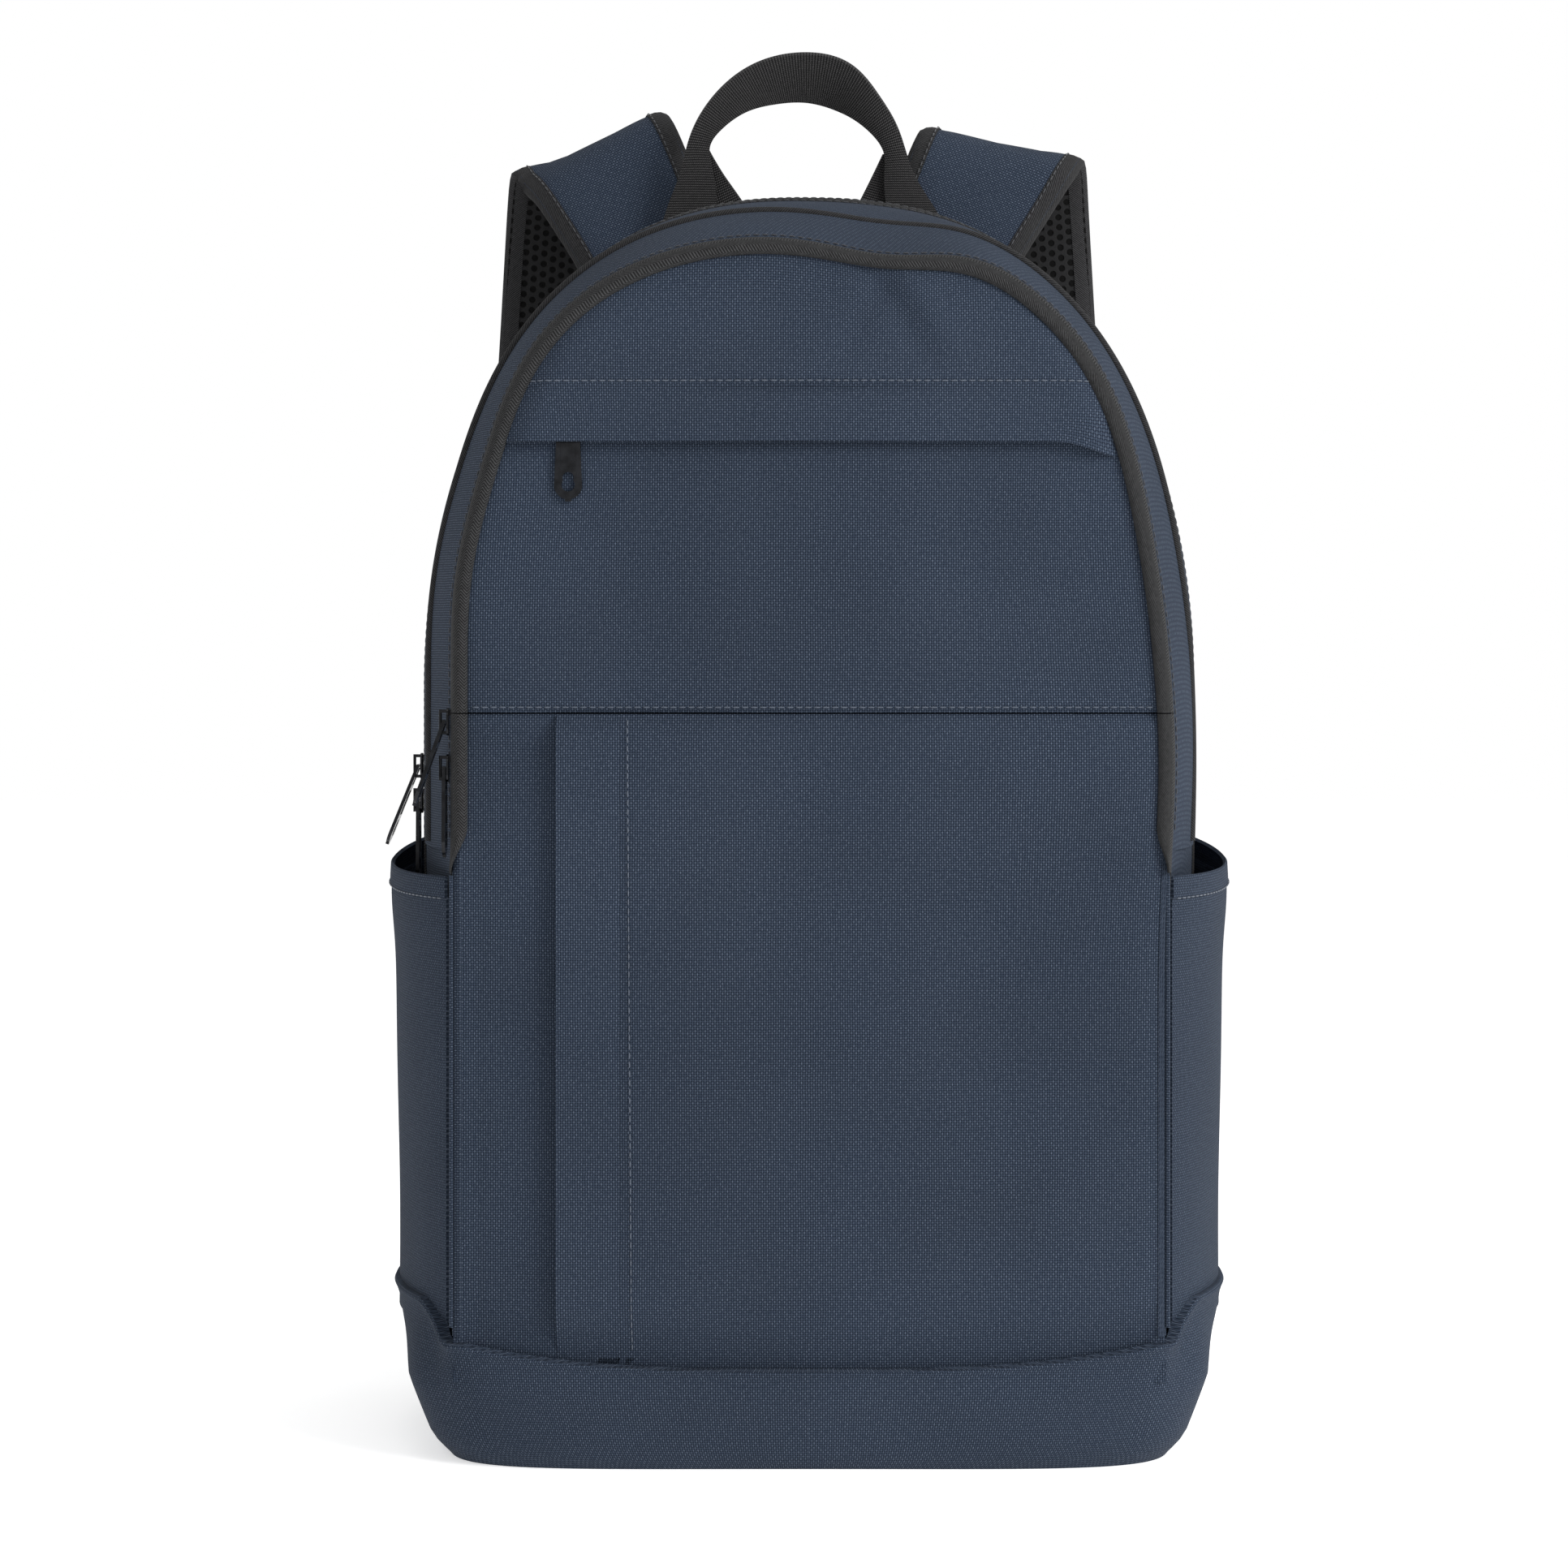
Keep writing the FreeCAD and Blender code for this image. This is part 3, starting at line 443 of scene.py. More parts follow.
def ribbed(name, dark, light, phase, pitch, grain_scale=1000, low=0.1, strength=0.6):
    """Slanting ribs: twill, or zip tape when the slant turns back along its middle."""
    s = Shader(name, roughness=0.8, sheen=0.02, specular=0.15)
    rib = s.math("SINE", s.mul(phase(s), 2 * math.pi / pitch))
    grain = s.noise(grain_scale, 2)
    # Painted highlight and shade: the colour follows the ribs, lighter on their crests and darker in the
    # troughs between them.
    s.colour(s.mix(s.ramp(s.add(s.mul(rib, 0.5), grain), low, 1.1), dark, light))
    s.relief(s.add(rib, grain), 0.1, strength)
    return s.mat


def webbing(name, dark, light, rib=1.35):
    """Heavy woven tape: cross ribs broken by lengthwise yarns."""
    s = Shader(name, roughness=0.55, sheen=0.02, specular=0.3)
    u, v = s.uv(wobble=0.3)
    cross, along = wave(s, u, rib / 2), wave(s, v, 0.8)
    cells = s.mul(s.math("ABSOLUTE", cross), s.add(s.mul(s.math("ABSOLUTE", along), 0.6), 0.4))
    grain = s.noise(1100, 2)
    # Painted highlight and shade: the raised rib cells are lighter and the hollows between them darker.
    s.colour(s.mix(s.ramp(s.add(cells, s.mul(grain, 0.5)), 0.45, 1.35), dark, light))
    s.relief(s.add(cells, s.mul(grain, 0.25)), 0.5, 0.9)
    return s.mat


def air_mesh(name, dark, light, pitch=4.2):
    """Spacer mesh: rows of six-sided holes, darkened inside as painted shade."""
    s = Shader(name, roughness=0.8, sheen=0.02, specular=0.15)
    u, v = s.uv()
    k = 4 * math.pi / (math.sqrt(3) * pitch)
    one = s.math("COSINE", s.mul(v, k))
    two = s.math("COSINE", s.mul(s.add(s.mul(u, math.sqrt(3) / 2), s.mul(v, 0.5)), k))
    three = s.math("COSINE", s.mul(s.sub(s.mul(u, math.sqrt(3) / 2), s.mul(v, 0.5)), k))
    field = s.add(one, s.add(two, three))
    wall = s.sub(1.0, s.ramp(field, -0.3, 1.0))
    knit = s.math("ABSOLUTE", s.math("SINE", s.mul(s.add(u, v), 2 * math.pi / 0.9)))
    # Painted shade: the holes are dark, and the troughs of the knit are darker than its ridges.
    s.colour(s.mix(wall, dark, s.mix(knit, tuple(c * 0.6 for c in light), light)))
    s.relief(s.add(wall, s.mul(knit, 0.12)), 1.3, 0.9)
    return s.mat


def lining(name, dark, light):
    s = Shader(name, roughness=0.55, sheen=0.2)
    u, v = s.uv(wobble=0.5)
    weave = s.mul(wave(s, u, 0.35), wave(s, v, 0.35))
    crease = s.ramp(s.noise(14, 4), 0.3, 0.75)
    # Painted shade: the colour follows the creases, darker down in their hollows.
    s.colour(s.mix(crease, dark, light))
    s.relief(s.add(s.mul(weave, 0.15), s.mul(crease, 1.5)), 0.8, 0.6)
    return s.mat


def gunmetal(name):
    """Black nickel: dark, glossy, faintly uneven."""
    s = Shader(name, roughness=0.2, metallic=0.7)
    blot = s.noise(260, 4)
    s.colour(s.mix(s.ramp(blot, 0.3, 0.7), (0.009, 0.0095, 0.011), (0.018, 0.019, 0.022)))
    s.put(s.shader.inputs["Roughness"], s.add(s.mul(blot, 0.12), 0.12))
    s.relief(s.noise(900, 2), 0.01, 0.2)
    return s.mat


def plastic(name, tone):
    s = Shader(name, roughness=0.42)
    grain = s.noise(1500, 3)
    s.colour(s.mix(s.ramp(s.noise(60, 3), 0.3, 0.7), tuple(t * 0.8 for t in tone),
                   tuple(t * 1.25 for t in tone)))
    s.put(s.shader.inputs["Roughness"], s.add(s.mul(grain, 0.2), 0.32))
    s.relief(grain, 0.05, 0.4)
    return s.mat


def thread(name, tone):
    s = Shader(name, roughness=0.6, sheen=0.3)
    ply = s.noise(2600, 1)
    s.colour(s.mix(ply, tuple(t * 0.7 for t in tone), tuple(t * 1.35 for t in tone)))
    return s.mat


NAVY = canvas("navy_canvas", (0.0074, 0.0113, 0.0198), (0.0322, 0.0450, 0.0700), (0.132, 0.161, 0.212))
# The darker and lighter tones of the twill and tape are painted shade in the rib troughs and painted
# highlight on the crests.
TWILL_TONES = (0.008, 0.008, 0.0085), (0.040, 0.040, 0.042)
BLACK_TWILL = ribbed("binding_twill", *TWILL_TONES, across_cloth, 0.9)
PLAIN_TWILL = ribbed("zip_twill", *TWILL_TONES, across_object, 0.9 * MM)
TAPE = ribbed("zip_tape", (0.0092, 0.0092, 0.0096), (0.047, 0.0475, 0.049), along_tape, 1.05, 900, 0.15, 0.7)
WEB = webbing("black_webbing", (0.0030, 0.0030, 0.0034), (0.050, 0.048, 0.049), rib=1.9)
MESH = air_mesh("air_mesh", (0.0012, 0.0012, 0.0012), (0.022, 0.022, 0.023))
LINING = lining("lining", (0.105, 0.112, 0.122), (0.175, 0.183, 0.195))
METAL = gunmetal("gunmetal")
PLASTIC = plastic("buckle_plastic", (0.02, 0.02, 0.021))
BOARD = plastic("board", (0.05, 0.05, 0.05))
THREAD = thread("navy_thread", (0.062, 0.078, 0.108))
DARK_THREAD = thread("dark_thread", (0.028, 0.030, 0.036))


# ------------------------------------------------------------------ front face

FACE_Y, EDGE_ROLL, BELLY, BELLY_HALF_WIDTH = -77.0, 2.5, 3.2, 74.0
CREASE_DEPTH, BASE_TUCK = 1.5, 2.2
COVER_RISE = 4.4
HINGE_SLIT, HINGE_Y = 0.02, -83.45
EDGE_GROW = -0.5
OUTLINE = np.stack(half_outline(-76.5, 0.0, 0.0, 500)[:2], -1)


def edge_distance(x, z):
    """How far a point of the front face is inside the outline."""
    gap = np.hypot(np.abs(x)[:, None] - OUTLINE[None, :, 0], z[:, None] - OUTLINE[None, :, 1])
    return gap.min(1)


def front_depth(x, z, raised):
    """Depth of the front face; raised is True for the panels whose folded edges cover the zips."""
    d = edge_distance(x, z)
    y = FACE_Y - EDGE_ROLL * (1 - np.exp(-d / 6.0))
    belly = np.clip(np.cos(np.pi / 2 * np.clip(x / BELLY_HALF_WIDTH, -1, 1)), 0, 1) ** 2
    y = y - BELLY * belly * smooth(z, 40, 150) * (1 - smooth(z, 330, 424))
    y = y - 0.45 * ripple(x * 0.8, z * 0.8) * smooth(d, 4, 30) * (0.35 + belly)
    top = raised * smooth(z, 352, 353) * (1 - 0.8 * smooth(z, 378, 412)) * smooth(d, 2.5, 12)
    low = (raised * (z < SEAM_Z) * (1 - 0.75 * smooth(x, -58, 0)) * (1 - 0.7 * smooth(z, 254.5, 261.5))
           * smooth(z, 40, 60))
    y = y - COVER_RISE * np.maximum(top, low * smooth(d, 2.5, 12))
    y = y + 1.2 * bump(z, SEAM_Z, 1.5)
    strip = (1 - raised) * (x < -80) * smooth(SEAM_Z - z, 1, 12) * smooth(z, 36, 60)
    y = y + strip * (0.6 + 0.055 * (-80 - x)) * smooth(d, 1, 8)
    crease = (bump(x + 0.55 * (z - 402), 30, 5.5) - 0.8 * bump(x + 0.55 * (z - 402), 41, 6)
              + 0.6 * bump(x - 0.5 * (z - 402), 20, 5))
    y = y + CREASE_DEPTH * crease * smooth(z, 372, 400) * smooth(d, 2, 10)
    y = y + BASE_TUCK * (1 - smooth(z - 5 * (np.abs(x) / 90) ** 3, 36, 52)) * smooth(d, 1, 8)
    sewn = np.maximum(raised * bump(z, COVER_HINGE, 2.0),
                      raised * (z < SEAM_Z) * bump(x, PLACKET_HINGE_X, 2.0))
    return y + sewn * np.maximum(0.0, HINGE_Y - y)


def front_sheet(y=-76.5, grow=EDGE_GROW):
    """Flat net of the bag's whole outline at one depth, as a mesh of (x, 0, z)."""
    x, z, _ = half_outline(y, grow, 31.0, 170)
    start = through(y, SHOULDER_STARTS)
    inner_z = np.where(z < start, z, start + (z - start) * 0.42)
    share = 1 - np.linspace(0, 1, 40)
    rows = []
    for i in range(len(x)):
        left = np.stack([-x[i] * share, np.zeros(40), inner_z[i] + (z[i] - inner_z[i]) * share ** 1.5], -1)
        right = left[::-1].copy()
        right[:, 0] *= -1
        rows.append(np.concatenate([left, right[1:]]))
    rows = np.array(rows)
    return grid_mesh(rows, rows[..., (0, 2)])


def front_piece(name, body, raised, cuts, replaces, slot_hole=None, dip=0.0, thick=1.1):
    bm = front_sheet()
    bmesh.ops.remove_doubles(bm, verts=bm.verts[:], dist=0.02)
    for axis, value, drop in cuts:
        split(bm, axis, value, drop)
    for z in (258.5, 260.2, 261.2, 262.9, 264, 266, 352.2, 353.2):
        split(bm, "z", z)
    if slot_hole:
        x0, x1, z0, z1 = slot_hole
        for axis, value in (("x", x0), ("x", x1), ("z", z0), ("z", z1)):
            split(bm, axis, value)
        inside = [f for f in bm.faces
                  if x0 < f.calc_center_median().x < x1 and z0 < f.calc_center_median().z < z1]
        bmesh.ops.delete(bm, geom=inside, context="FACES")

    def place(co):
        co[:, 1] = front_depth(co[:, 0], co[:, 2], raised)
        co[:, 2] -= dip * smooth(co[:, 0], 86, 112) * (1 - smooth(co[:, 2], COVER_LOW, COVER_LOW + 11))
        return settle(co)
    reshape(bm, place)
    return piece(bm, name, body, NAVY, replaces, thick=thick)


front_piece("front_top_panel", "front_flap", True, [("z", COVER_HINGE + HINGE_SLIT, "below")],
            ["upper_front_panel"])
front_piece("front_middle_panel", "front_flap", False,
            [("z", SEAM_Z + 0.25, "below"), ("z", COVER_HINGE + 3, "above")],
            [], slot_hole=(-98, 98, 361.5, 370.5))
front_piece("pocket_cover_strip", "pocket_flap", True,
            [("z", COVER_LOW, "below"), ("z", COVER_HINGE - HINGE_SLIT, "above")], ["pocket_cover"],
            thick=1.1, dip=5.5)
front_piece("front_lower_panel", "bag_body", True,
            [("z", SEAM_Z - 0.25, "above"), ("x", PLACKET_HINGE_X + HINGE_SLIT, "below")],
            ["lower_front_panel"])
front_piece("front_lower_backing", "bag_body", False,
            [("z", SEAM_Z - 0.25, "above"), ("x", -73.5, "below"), ("x", -60, "above")], [])
front_piece("front_side_strip", "bag_body", False, [("z", SEAM_Z - 0.25, "above"), ("x", -82.5, "above")],
            ["placket_side_panel"])
front_piece("placket_slot_top", "bag_body", False,
            [("z", SEAM_Z - 0.25, "above"), ("z", 256.0, "below"), ("x", -83.0, "below"),
             ("x", -73.0, "above")], [])
front_piece("placket_cover_strip", "placket_flap", True,
            [("z", SEAM_Z - 0.35, "above"), ("x", FOLD_X, "below"),
             ("x", PLACKET_HINGE_X - HINGE_SLIT, "above")],
            ["placket_cover"], thick=1.0)


def front_line(points, raised=True, out=0.25):
    """A line on the front face through (x, z) points, a little proud of the cloth."""
    p = resample([(x, 0, z) for x, z in points], step=1.2)
    p[:, 1] = front_depth(p[:, 0], p[:, 2], raised) - out
    return settle(p)


# ------------------------------------------------------------------ stitches

def stitches(name, body, lines, material=None, pitch=3.1, length=2.3, radius=0.26):
    """Rows of thread along lines, each stitch a short bead of thread that dips into the cloth at its ends."""
    verts, faces = [], []
    sides = 6
    for line in lines:
        line = np.array(line, float)
        along = run_length(line)
        for k in range(int(along[-1] / pitch)):
            at = np.linspace(0, length, 5) + k * pitch + (pitch - length) / 2
            spine = np.stack([np.interp(at, along, line[:, i]) for i in range(3)], -1)
            run = spine[-1] - spine[0]
            size = np.linalg.norm(run)
            if size < length * 0.5:
                continue
            run = run / size
            side = np.cross(run, (0.0, 0.0, 1.0) if abs(run[2]) < 0.8 else (1.0, 0.0, 0.0))
            side /= np.linalg.norm(side)
            other = np.cross(run, side)
            base = len(verts)
            for j, (point, fat) in enumerate(zip(spine, (0.35, 0.9, 1.0, 0.9, 0.35))):
                for m in range(sides):
                    a = 2 * math.pi * m / sides
                    verts.append((point + radius * fat * (math.cos(a) * side + math.sin(a) * other)) * MM)
            for j in range(4):
                for m in range(sides):
                    n = (m + 1) % sides
                    faces.append((base + j * sides + m, base + j * sides + n,
                                  base + (j + 1) * sides + n, base + (j + 1) * sides + m))
            faces.append(tuple(base + m for m in reversed(range(sides))))
            faces.append(tuple(base + 4 * sides + m for m in range(sides)))
    mesh = bpy.data.meshes.new(name)
    mesh.from_pydata([tuple(v) for v in verts], [], faces)
    mesh.shade_smooth()
    mesh.materials.append(material or THREAD)
    obj = bpy.data.objects.new(name, mesh)
    bpy.context.scene.collection.objects.link(obj)
    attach(obj, body)
    return obj


stitches("stitches_front_top", "front_flap", [
    front_line([(-103, COVER_HIGH - 0.6), (104, COVER_HIGH - 0.6)]),
    front_line([(-116.5, SEAM_Z + 2.1), (118, SEAM_Z + 2.1)])])
stitches("stitches_placket", "bag_body", [front_line([(PLACKET_STITCH_X, SEAM_Z - 2),
                                                      (PLACKET_STITCH_X + 1.5, 40)])])


# ------------------------------------------------------------------ arched zips, gussets and sides

def arch_piece(name, body, profile, floor, material, replaces=(), thick=1.0, cuts=(), count=260,
               puff=0.0, shape=None):
    rows, uv = arch_rows(profile, floor, count)
    if puff:
        shares = np.linspace(0, 1, len(profile))[:, None]
        reach = rows[..., (0, 2)] - (0.0, 240.0)
        size = np.linalg.norm(reach, axis=-1, keepdims=True)
        wave_out = (puff * np.sin(np.pi * shares)
                    + 0.35 * puff * ripple(uv[..., 0] * 0.9, uv[..., 1] * 1.4) * np.sin(np.pi * shares))
        rows[..., 0] += (reach / size)[..., 0] * wave_out
        rows[..., 2] += (reach / size)[..., 1] * wave_out
    bm = grid_mesh(settle(rows), uv)
    for axis, value, drop in cuts:
        split(bm, axis, value, drop)
    if shape:
        reshape(bm, shape)
    return piece(bm, name, body, material, replaces, thick=thick)


def band_taper(p):
    """The band's lower ends narrow to a point behind the side pocket's mouth."""
    p = p.copy()
    close = 1 - smooth(p[:, 2], BAND_FOOT, BAND_FOOT + 16)
    out = np.sign(p[:, 0]) * (np.abs(p[:, 0]) < 124.4) * (124.4 - np.abs(p[:, 0]))
    p[:, 0] += out * close * 0.85
    return p


def arch_line(y, grow, floor, count=500):
    rows, _ = arch_rows([(y, grow)], floor, count)
    return settle(rows)[0]


def depths(y0, y1, grow0, grow1, steps):
    return [(y0 + (y1 - y0) * i / steps, grow0 + (grow1 - grow0) * i / steps) for i in range(steps + 1)]


BAND_FOOT, ZIP_FOOT = 207.0, 196
BAND = [(-78.9, -5.7), (-80.1, -5.5), (-80.8, -4.6), (-80.9, -3.4), (-80.5, -2.2), (-79.4, -1.0),
        (-77.8, -0.2), (-76.0, 0.3), (-74.2, 0.6), (-72.9, 0.75)]
arch_piece("front_zip_band", "front_flap", BAND, 150, TAPE, ["front_zip_flap_half"], thick=0.6,
           cuts=[("z", SEAM_Z + 0.2, "below")])
arch_piece("front_zip_band_ends", "bag_body", BAND, 150, TAPE, ["front_zip_lower_ends"],
           thick=0.6, cuts=[("z", SEAM_Z - 0.2, "above"), ("z", BAND_FOOT, "below")], shape=band_taper)
ZIP_TAPES = (
    ("front_zip_rear_tape", "front_zip_gusset_half",
     [(-71.9, 0.55), (-71.7, 0.85), (-70, 0.85), (-68.3, 0.8), (-67.9, 0.2)]),
    ("rear_zip_front_tape", "rear_zip_front_half",
     [(0.5, 0.2), (0.9, 0.85), (2.7, 0.9), (4.3, 0.85), (4.45, 0.5)]),
    ("rear_zip_back_tape", "rear_zip_back_half",
     [(5.55, 0.5), (5.7, 0.85), (7.3, 0.9), (9.1, 0.85), (9.5, 0.2)]))
for name, node, profile in ZIP_TAPES:
    arch_piece(name, "bag_body", profile, ZIP_FOOT, TAPE, [node], thick=0.6)
ZIP_COILS = (
    ("front_zip_coil_flap", "front_flap", [("z", SEAM_Z + 0.2, "below")],
     [(-73.3, 0.0), (-72.8, 0.25), (-72.42, -0.2)]),
    ("front_zip_coil_body", "bag_body", (), [(-72.38, -0.2), (-72.0, 0.25), (-71.5, 0.0)]),
    ("rear_zip_coil", "bag_body", (), [(4.2, 0.0), (4.75, 0.3), (5.0, -0.3), (5.25, 0.3), (5.8, 0.0)]))
for name, body, cuts, profile in ZIP_COILS:
    arch_piece(name, body, profile, ZIP_FOOT, BLACK_TWILL, thick=0.5, cuts=cuts)
arch_piece("gusset_middle", "bag_body", depths(-68.2, 0.85, 0.1, 0.1, 16), 100, NAVY,
           ["middle_gusset"], thick=1.4, cuts=[("z", SPLIT_Z, "below")], puff=1.3)
arch_piece("gusset_rear", "bag_body", depths(9.15, 69.0, 0.1, 0.0, 12)
           + [(71.0, -0.6), (72.4, -2.6), (73.0, -6.0)], 100, NAVY,
           ["rear_gusset"], thick=1.4, cuts=[("z", SPLIT_Z, "below")], puff=1.0)
SIDE = ([(-78.4, -3.0), (-77.9, -1.2), (-76.3, -0.1), (-73, 0.0)] + depths(-68, 69, 0, 0, 14)
        + [(71.2, -0.8), (72.4, -3.0)])
for side, drop in (("left", "above"), ("right", "below")):
    arch_piece("side_lower_" + side, "bag_body", SIDE, 47, NAVY, ["side_panel_" + side], thick=1.4,
               cuts=[("z", SPLIT_Z + 0.5, "above"), ("x", 0, drop)])
stitches("stitches_gussets", "bag_body", [arch_line(y, g, SPLIT_Z + 4) for y, g in
                                         ((-64.6, 0.75), (-3.0, 0.75), (13.0, 0.75), (65.5, 0.65))],
                                         DARK_THREAD)


# ------------------------------------------------------------------ base

# The cup is a rounded box at the floor; towards its seam it follows the front and the side pockets.
FOOT_WIDTHS = ((0.0, 130.0), (9.0, 135.0), (28.0, 141.5), (58.0, 144.0))
FOOT_DEPTHS = ((0.0, 73.5), (9.0, 77.0), (28.0, 80.0), (58.0, 81.0))
FOOT_SQUARENESS = 5.5
BASE_CENTRE_Y = -1.0


def base_top(count):
    """Plan of the cup's top edge: flat front, round corners, the bowed pockets and the back."""
    x, y = arc_points((128.0, -67.0), (150.6, 0.0), (139.0, 63.0), 30).T
    right = [(0, -82.2), (60, -82.2), (108, -82.0), (120, -81.6), (126.5, -78.0), *zip(x, y), (136.5, 71),
             (129, 77.5), (112, 79.5), (60, 79.8)]
    left = [(-px, py) for px, py in right[:0:-1]]
    outline = [(px, py, 0) for px, py in [*right, (0, 79.8), *left, right[0]]]
    ring = resample(outline, count=count + 1)[:-1, :2]
    for _ in range(6):
        ring = (np.roll(ring, 1, 0) + 2 * ring + np.roll(ring, -1, 0)) / 4
    return ring - (0, BASE_CENTRE_Y)


def base_ring(share, count, out=0.0):
    """Points round the base, at a share of the way from the floor to its sloping top seam."""
    top = base_top(count)
    reach = np.hypot(*top.T)
    unit = top / reach[:, None]
    turn = smooth(top[:, 1], -78, -50)
    seam = (36 + 8.8 * np.minimum(np.abs(top[:, 0]) / 121.5, 1.0) ** 3) * (1 - turn) + 57.0 * turn
    z = seam * share
    w = np.interp(z, *zip(*FOOT_WIDTHS))
    d = np.interp(z, *zip(*FOOT_DEPTHS))
    foot = ((np.abs(unit[:, 0]) / w) ** FOOT_SQUARENESS
            + (np.abs(unit[:, 1]) / d) ** FOOT_SQUARENESS) ** (-1 / FOOT_SQUARENESS)
    blend = smooth(z, 14, 54) * (1 - turn) + smooth(z, 26, 56) * turn
    r = foot * (1 - blend) + reach * blend + out
    ring = np.stack([r * unit[:, 0], r * unit[:, 1] + BASE_CENTRE_Y, z], -1)
    run = np.concatenate([[0], np.cumsum(np.hypot(*np.diff(top, axis=0).T))])
    return ring, run


def base():
    count = 420
    rows, uv = [], []
    shares = [0.0, 0.02, 0.05, 0.1] + list(np.linspace(0.16, 0.9, 12)) + [0.94, 0.965, 0.985, 0.995, 1.0]
    for share in shares:
        out = (0.9 * math.sin(math.pi * share) + 1.3 * bump(share, 0.965, 0.03)
               - 1.6 * (1 - smooth(share, 0, 0.1)))
        out -= 3.4 * smooth(share, 0.985, 1.0)
        ring, run = base_ring(share, count, float(out))
        ring[:, 2] += 0.0 if share else 0.05
        dents = 0.6 * ripple(ring[:, 0] * 1.2 + ring[:, 1], ring[:, 2] * 2.0) * math.sin(math.pi * share)
        ring[:, 0] += np.sign(ring[:, 0]) * dents * smooth(np.abs(ring[:, 0]), 90, 140)
        ring[:, 1] += np.sign(ring[:, 1]) * dents
        rows.append(ring)
        uv.append(np.stack([run, ring[:, 2]], -1))
    bm = grid_mesh(np.array(rows), np.array(uv), wrap=True)
    bm.verts.ensure_lookup_table()
    layer = bm.loops.layers.uv[UV]
    ring, last = [bm.verts[i] for i in range(count)], 1.0
    for shrink in (0.93, 0.6, 0.3):
        inner = [bm.verts.new((v.co.x * shrink / last, v.co.y * shrink / last, 0.02)) for v in ring]
        for i in range(count):
            j = (i + 1) % count
            face = bm.faces.new((ring[i], inner[i], inner[j], ring[j]))
            for loop in face.loops:
                loop[layer].uv = (loop.vert.co.x * MM, loop.vert.co.y * MM)
        ring, last = inner, shrink
    face = bm.faces.new(ring)
    for loop in face.loops:
        loop[layer].uv = (loop.vert.co.x * MM, loop.vert.co.y * MM)
    bmesh.ops.recalc_face_normals(bm, faces=bm.faces[:])
    piece(bm, "base_cup", "bag_body", NAVY, ["base_panel"], thick=1.5, inward=(0, 0, 40))


base()


# ------------------------------------------------------------------ side pockets

POCKET_LOW_Z, POCKET_FLOOR_Z, POCKET_MOUTH_Z = 46.0, 50.0, 205
POCKET_FRONT, POCKET_BULGE, POCKET_REAR = (126.5, -66.0), (152.5, 0.0), (138.5, 62.0)


def pocket_surface(sign, share_along, share_up, out=0.0):
    """A point of the bowed pocket wall; the wall narrows a little towards the base."""
    arc = arc_points(POCKET_FRONT, POCKET_BULGE, POCKET_REAR, 61)
    at = share_along * 60
    x, y = np.interp(at, np.arange(61), arc[:, 0]), np.interp(at, np.arange(61), arc[:, 1])
    mouth = POCKET_MOUTH_Z + 11.0 * share_along - 3.0 * np.sin(np.pi * share_along)
    z = POCKET_LOW_Z + (mouth - POCKET_LOW_Z) * share_up
    bow = np.sin(np.pi * share_along)
    x = x - 2.4 * bow * bump(share_up, 0.0, 0.35) - 1.8 * bow * bump(share_up, 0.45, 0.35)
    x = x + 1.3 * bow * bump(share_up, 0.93, 0.10)
    x = x + 0.7 * ripple(y * 1.4, z * 0.9) * bow + out
    return np.stack([sign * x, y - 0.25 * out, z], -1)


for sign, side in ((-1, "left"), (1, "right")):
    along, up = np.meshgrid(np.linspace(0, 1, 56),
                            np.concatenate([np.linspace(0, 0.948, 44),
                                            [0.951, 0.953, 0.97, 0.985, 0.996, 1.0]]))
    hem = np.where(up > 0.9505, 0.55, 0.0) - np.where(up > 0.999, 0.5, 0.0)
    rows = pocket_surface(sign, along, up, hem)
    uv = np.stack([along * 150, up * 152], -1)
    piece(grid_mesh(rows, uv), "pocket_wall_" + side, "bag_body", NAVY, ["side_pocket_" + side],
          thick=1.3)
    line = pocket_surface(sign, np.linspace(0.01, 0.99, 200), np.full(200, 0.9512), 0.75)
    stitches("stitches_pocket_" + side, "bag_body", [line])
    foot_along = np.linspace(0.0, 1.0, 40)
    outer = pocket_surface(sign, foot_along, np.zeros(40), -1.0)
    inner = outer.copy()
    inner[:, 0] -= sign * (np.abs(outer[:, 0])
                           - np.array([through(y, HALF_WIDTHS) - recess(y, 60) - 1 for y in outer[:, 1]]))
    floor_rows = np.array([outer, inner])
    floor_rows[..., 2] = POCKET_FLOOR_Z
    piece(grid_mesh(floor_rows, floor_rows[..., (0, 1)]), "pocket_floor_" + side, "bag_body", NAVY,
          [], thick=1.0, inward=(0, 0, 0))


# ------------------------------------------------------------------ inside

def face_sheet(name, y, grow, floor, body, material, replaces=(), thick=0.6, sag=0.0, x_half=None,
               top_z=None):
    """A flat lining or wall at one depth; returns it with its flat width, length and area in metres."""
    bm = front_sheet(y, grow)
    bmesh.ops.remove_doubles(bm, verts=bm.verts[:], dist=0.02)
    split(bm, "z", floor, "below")
    if top_z:
        split(bm, "z", top_z, "above")
    if x_half:
        split(bm, "x", x_half, "above")
        split(bm, "x", -x_half, "below")
    flat = np.array([v.co for v in bm.verts])
    width, length = np.ptp(flat[:, 0]) * MM, np.ptp(flat[:, 2]) * MM
    area = sum(f.calc_area() for f in bm.faces) * MM * MM

    def place(co):
        co[:, 1] = y + sag * ripple(co[:, 0] * 0.9, co[:, 2] * 0.7)
        return co
    reshape(bm, place)
    return piece(bm, name, body, material, replaces, thick=thick), width, length, area


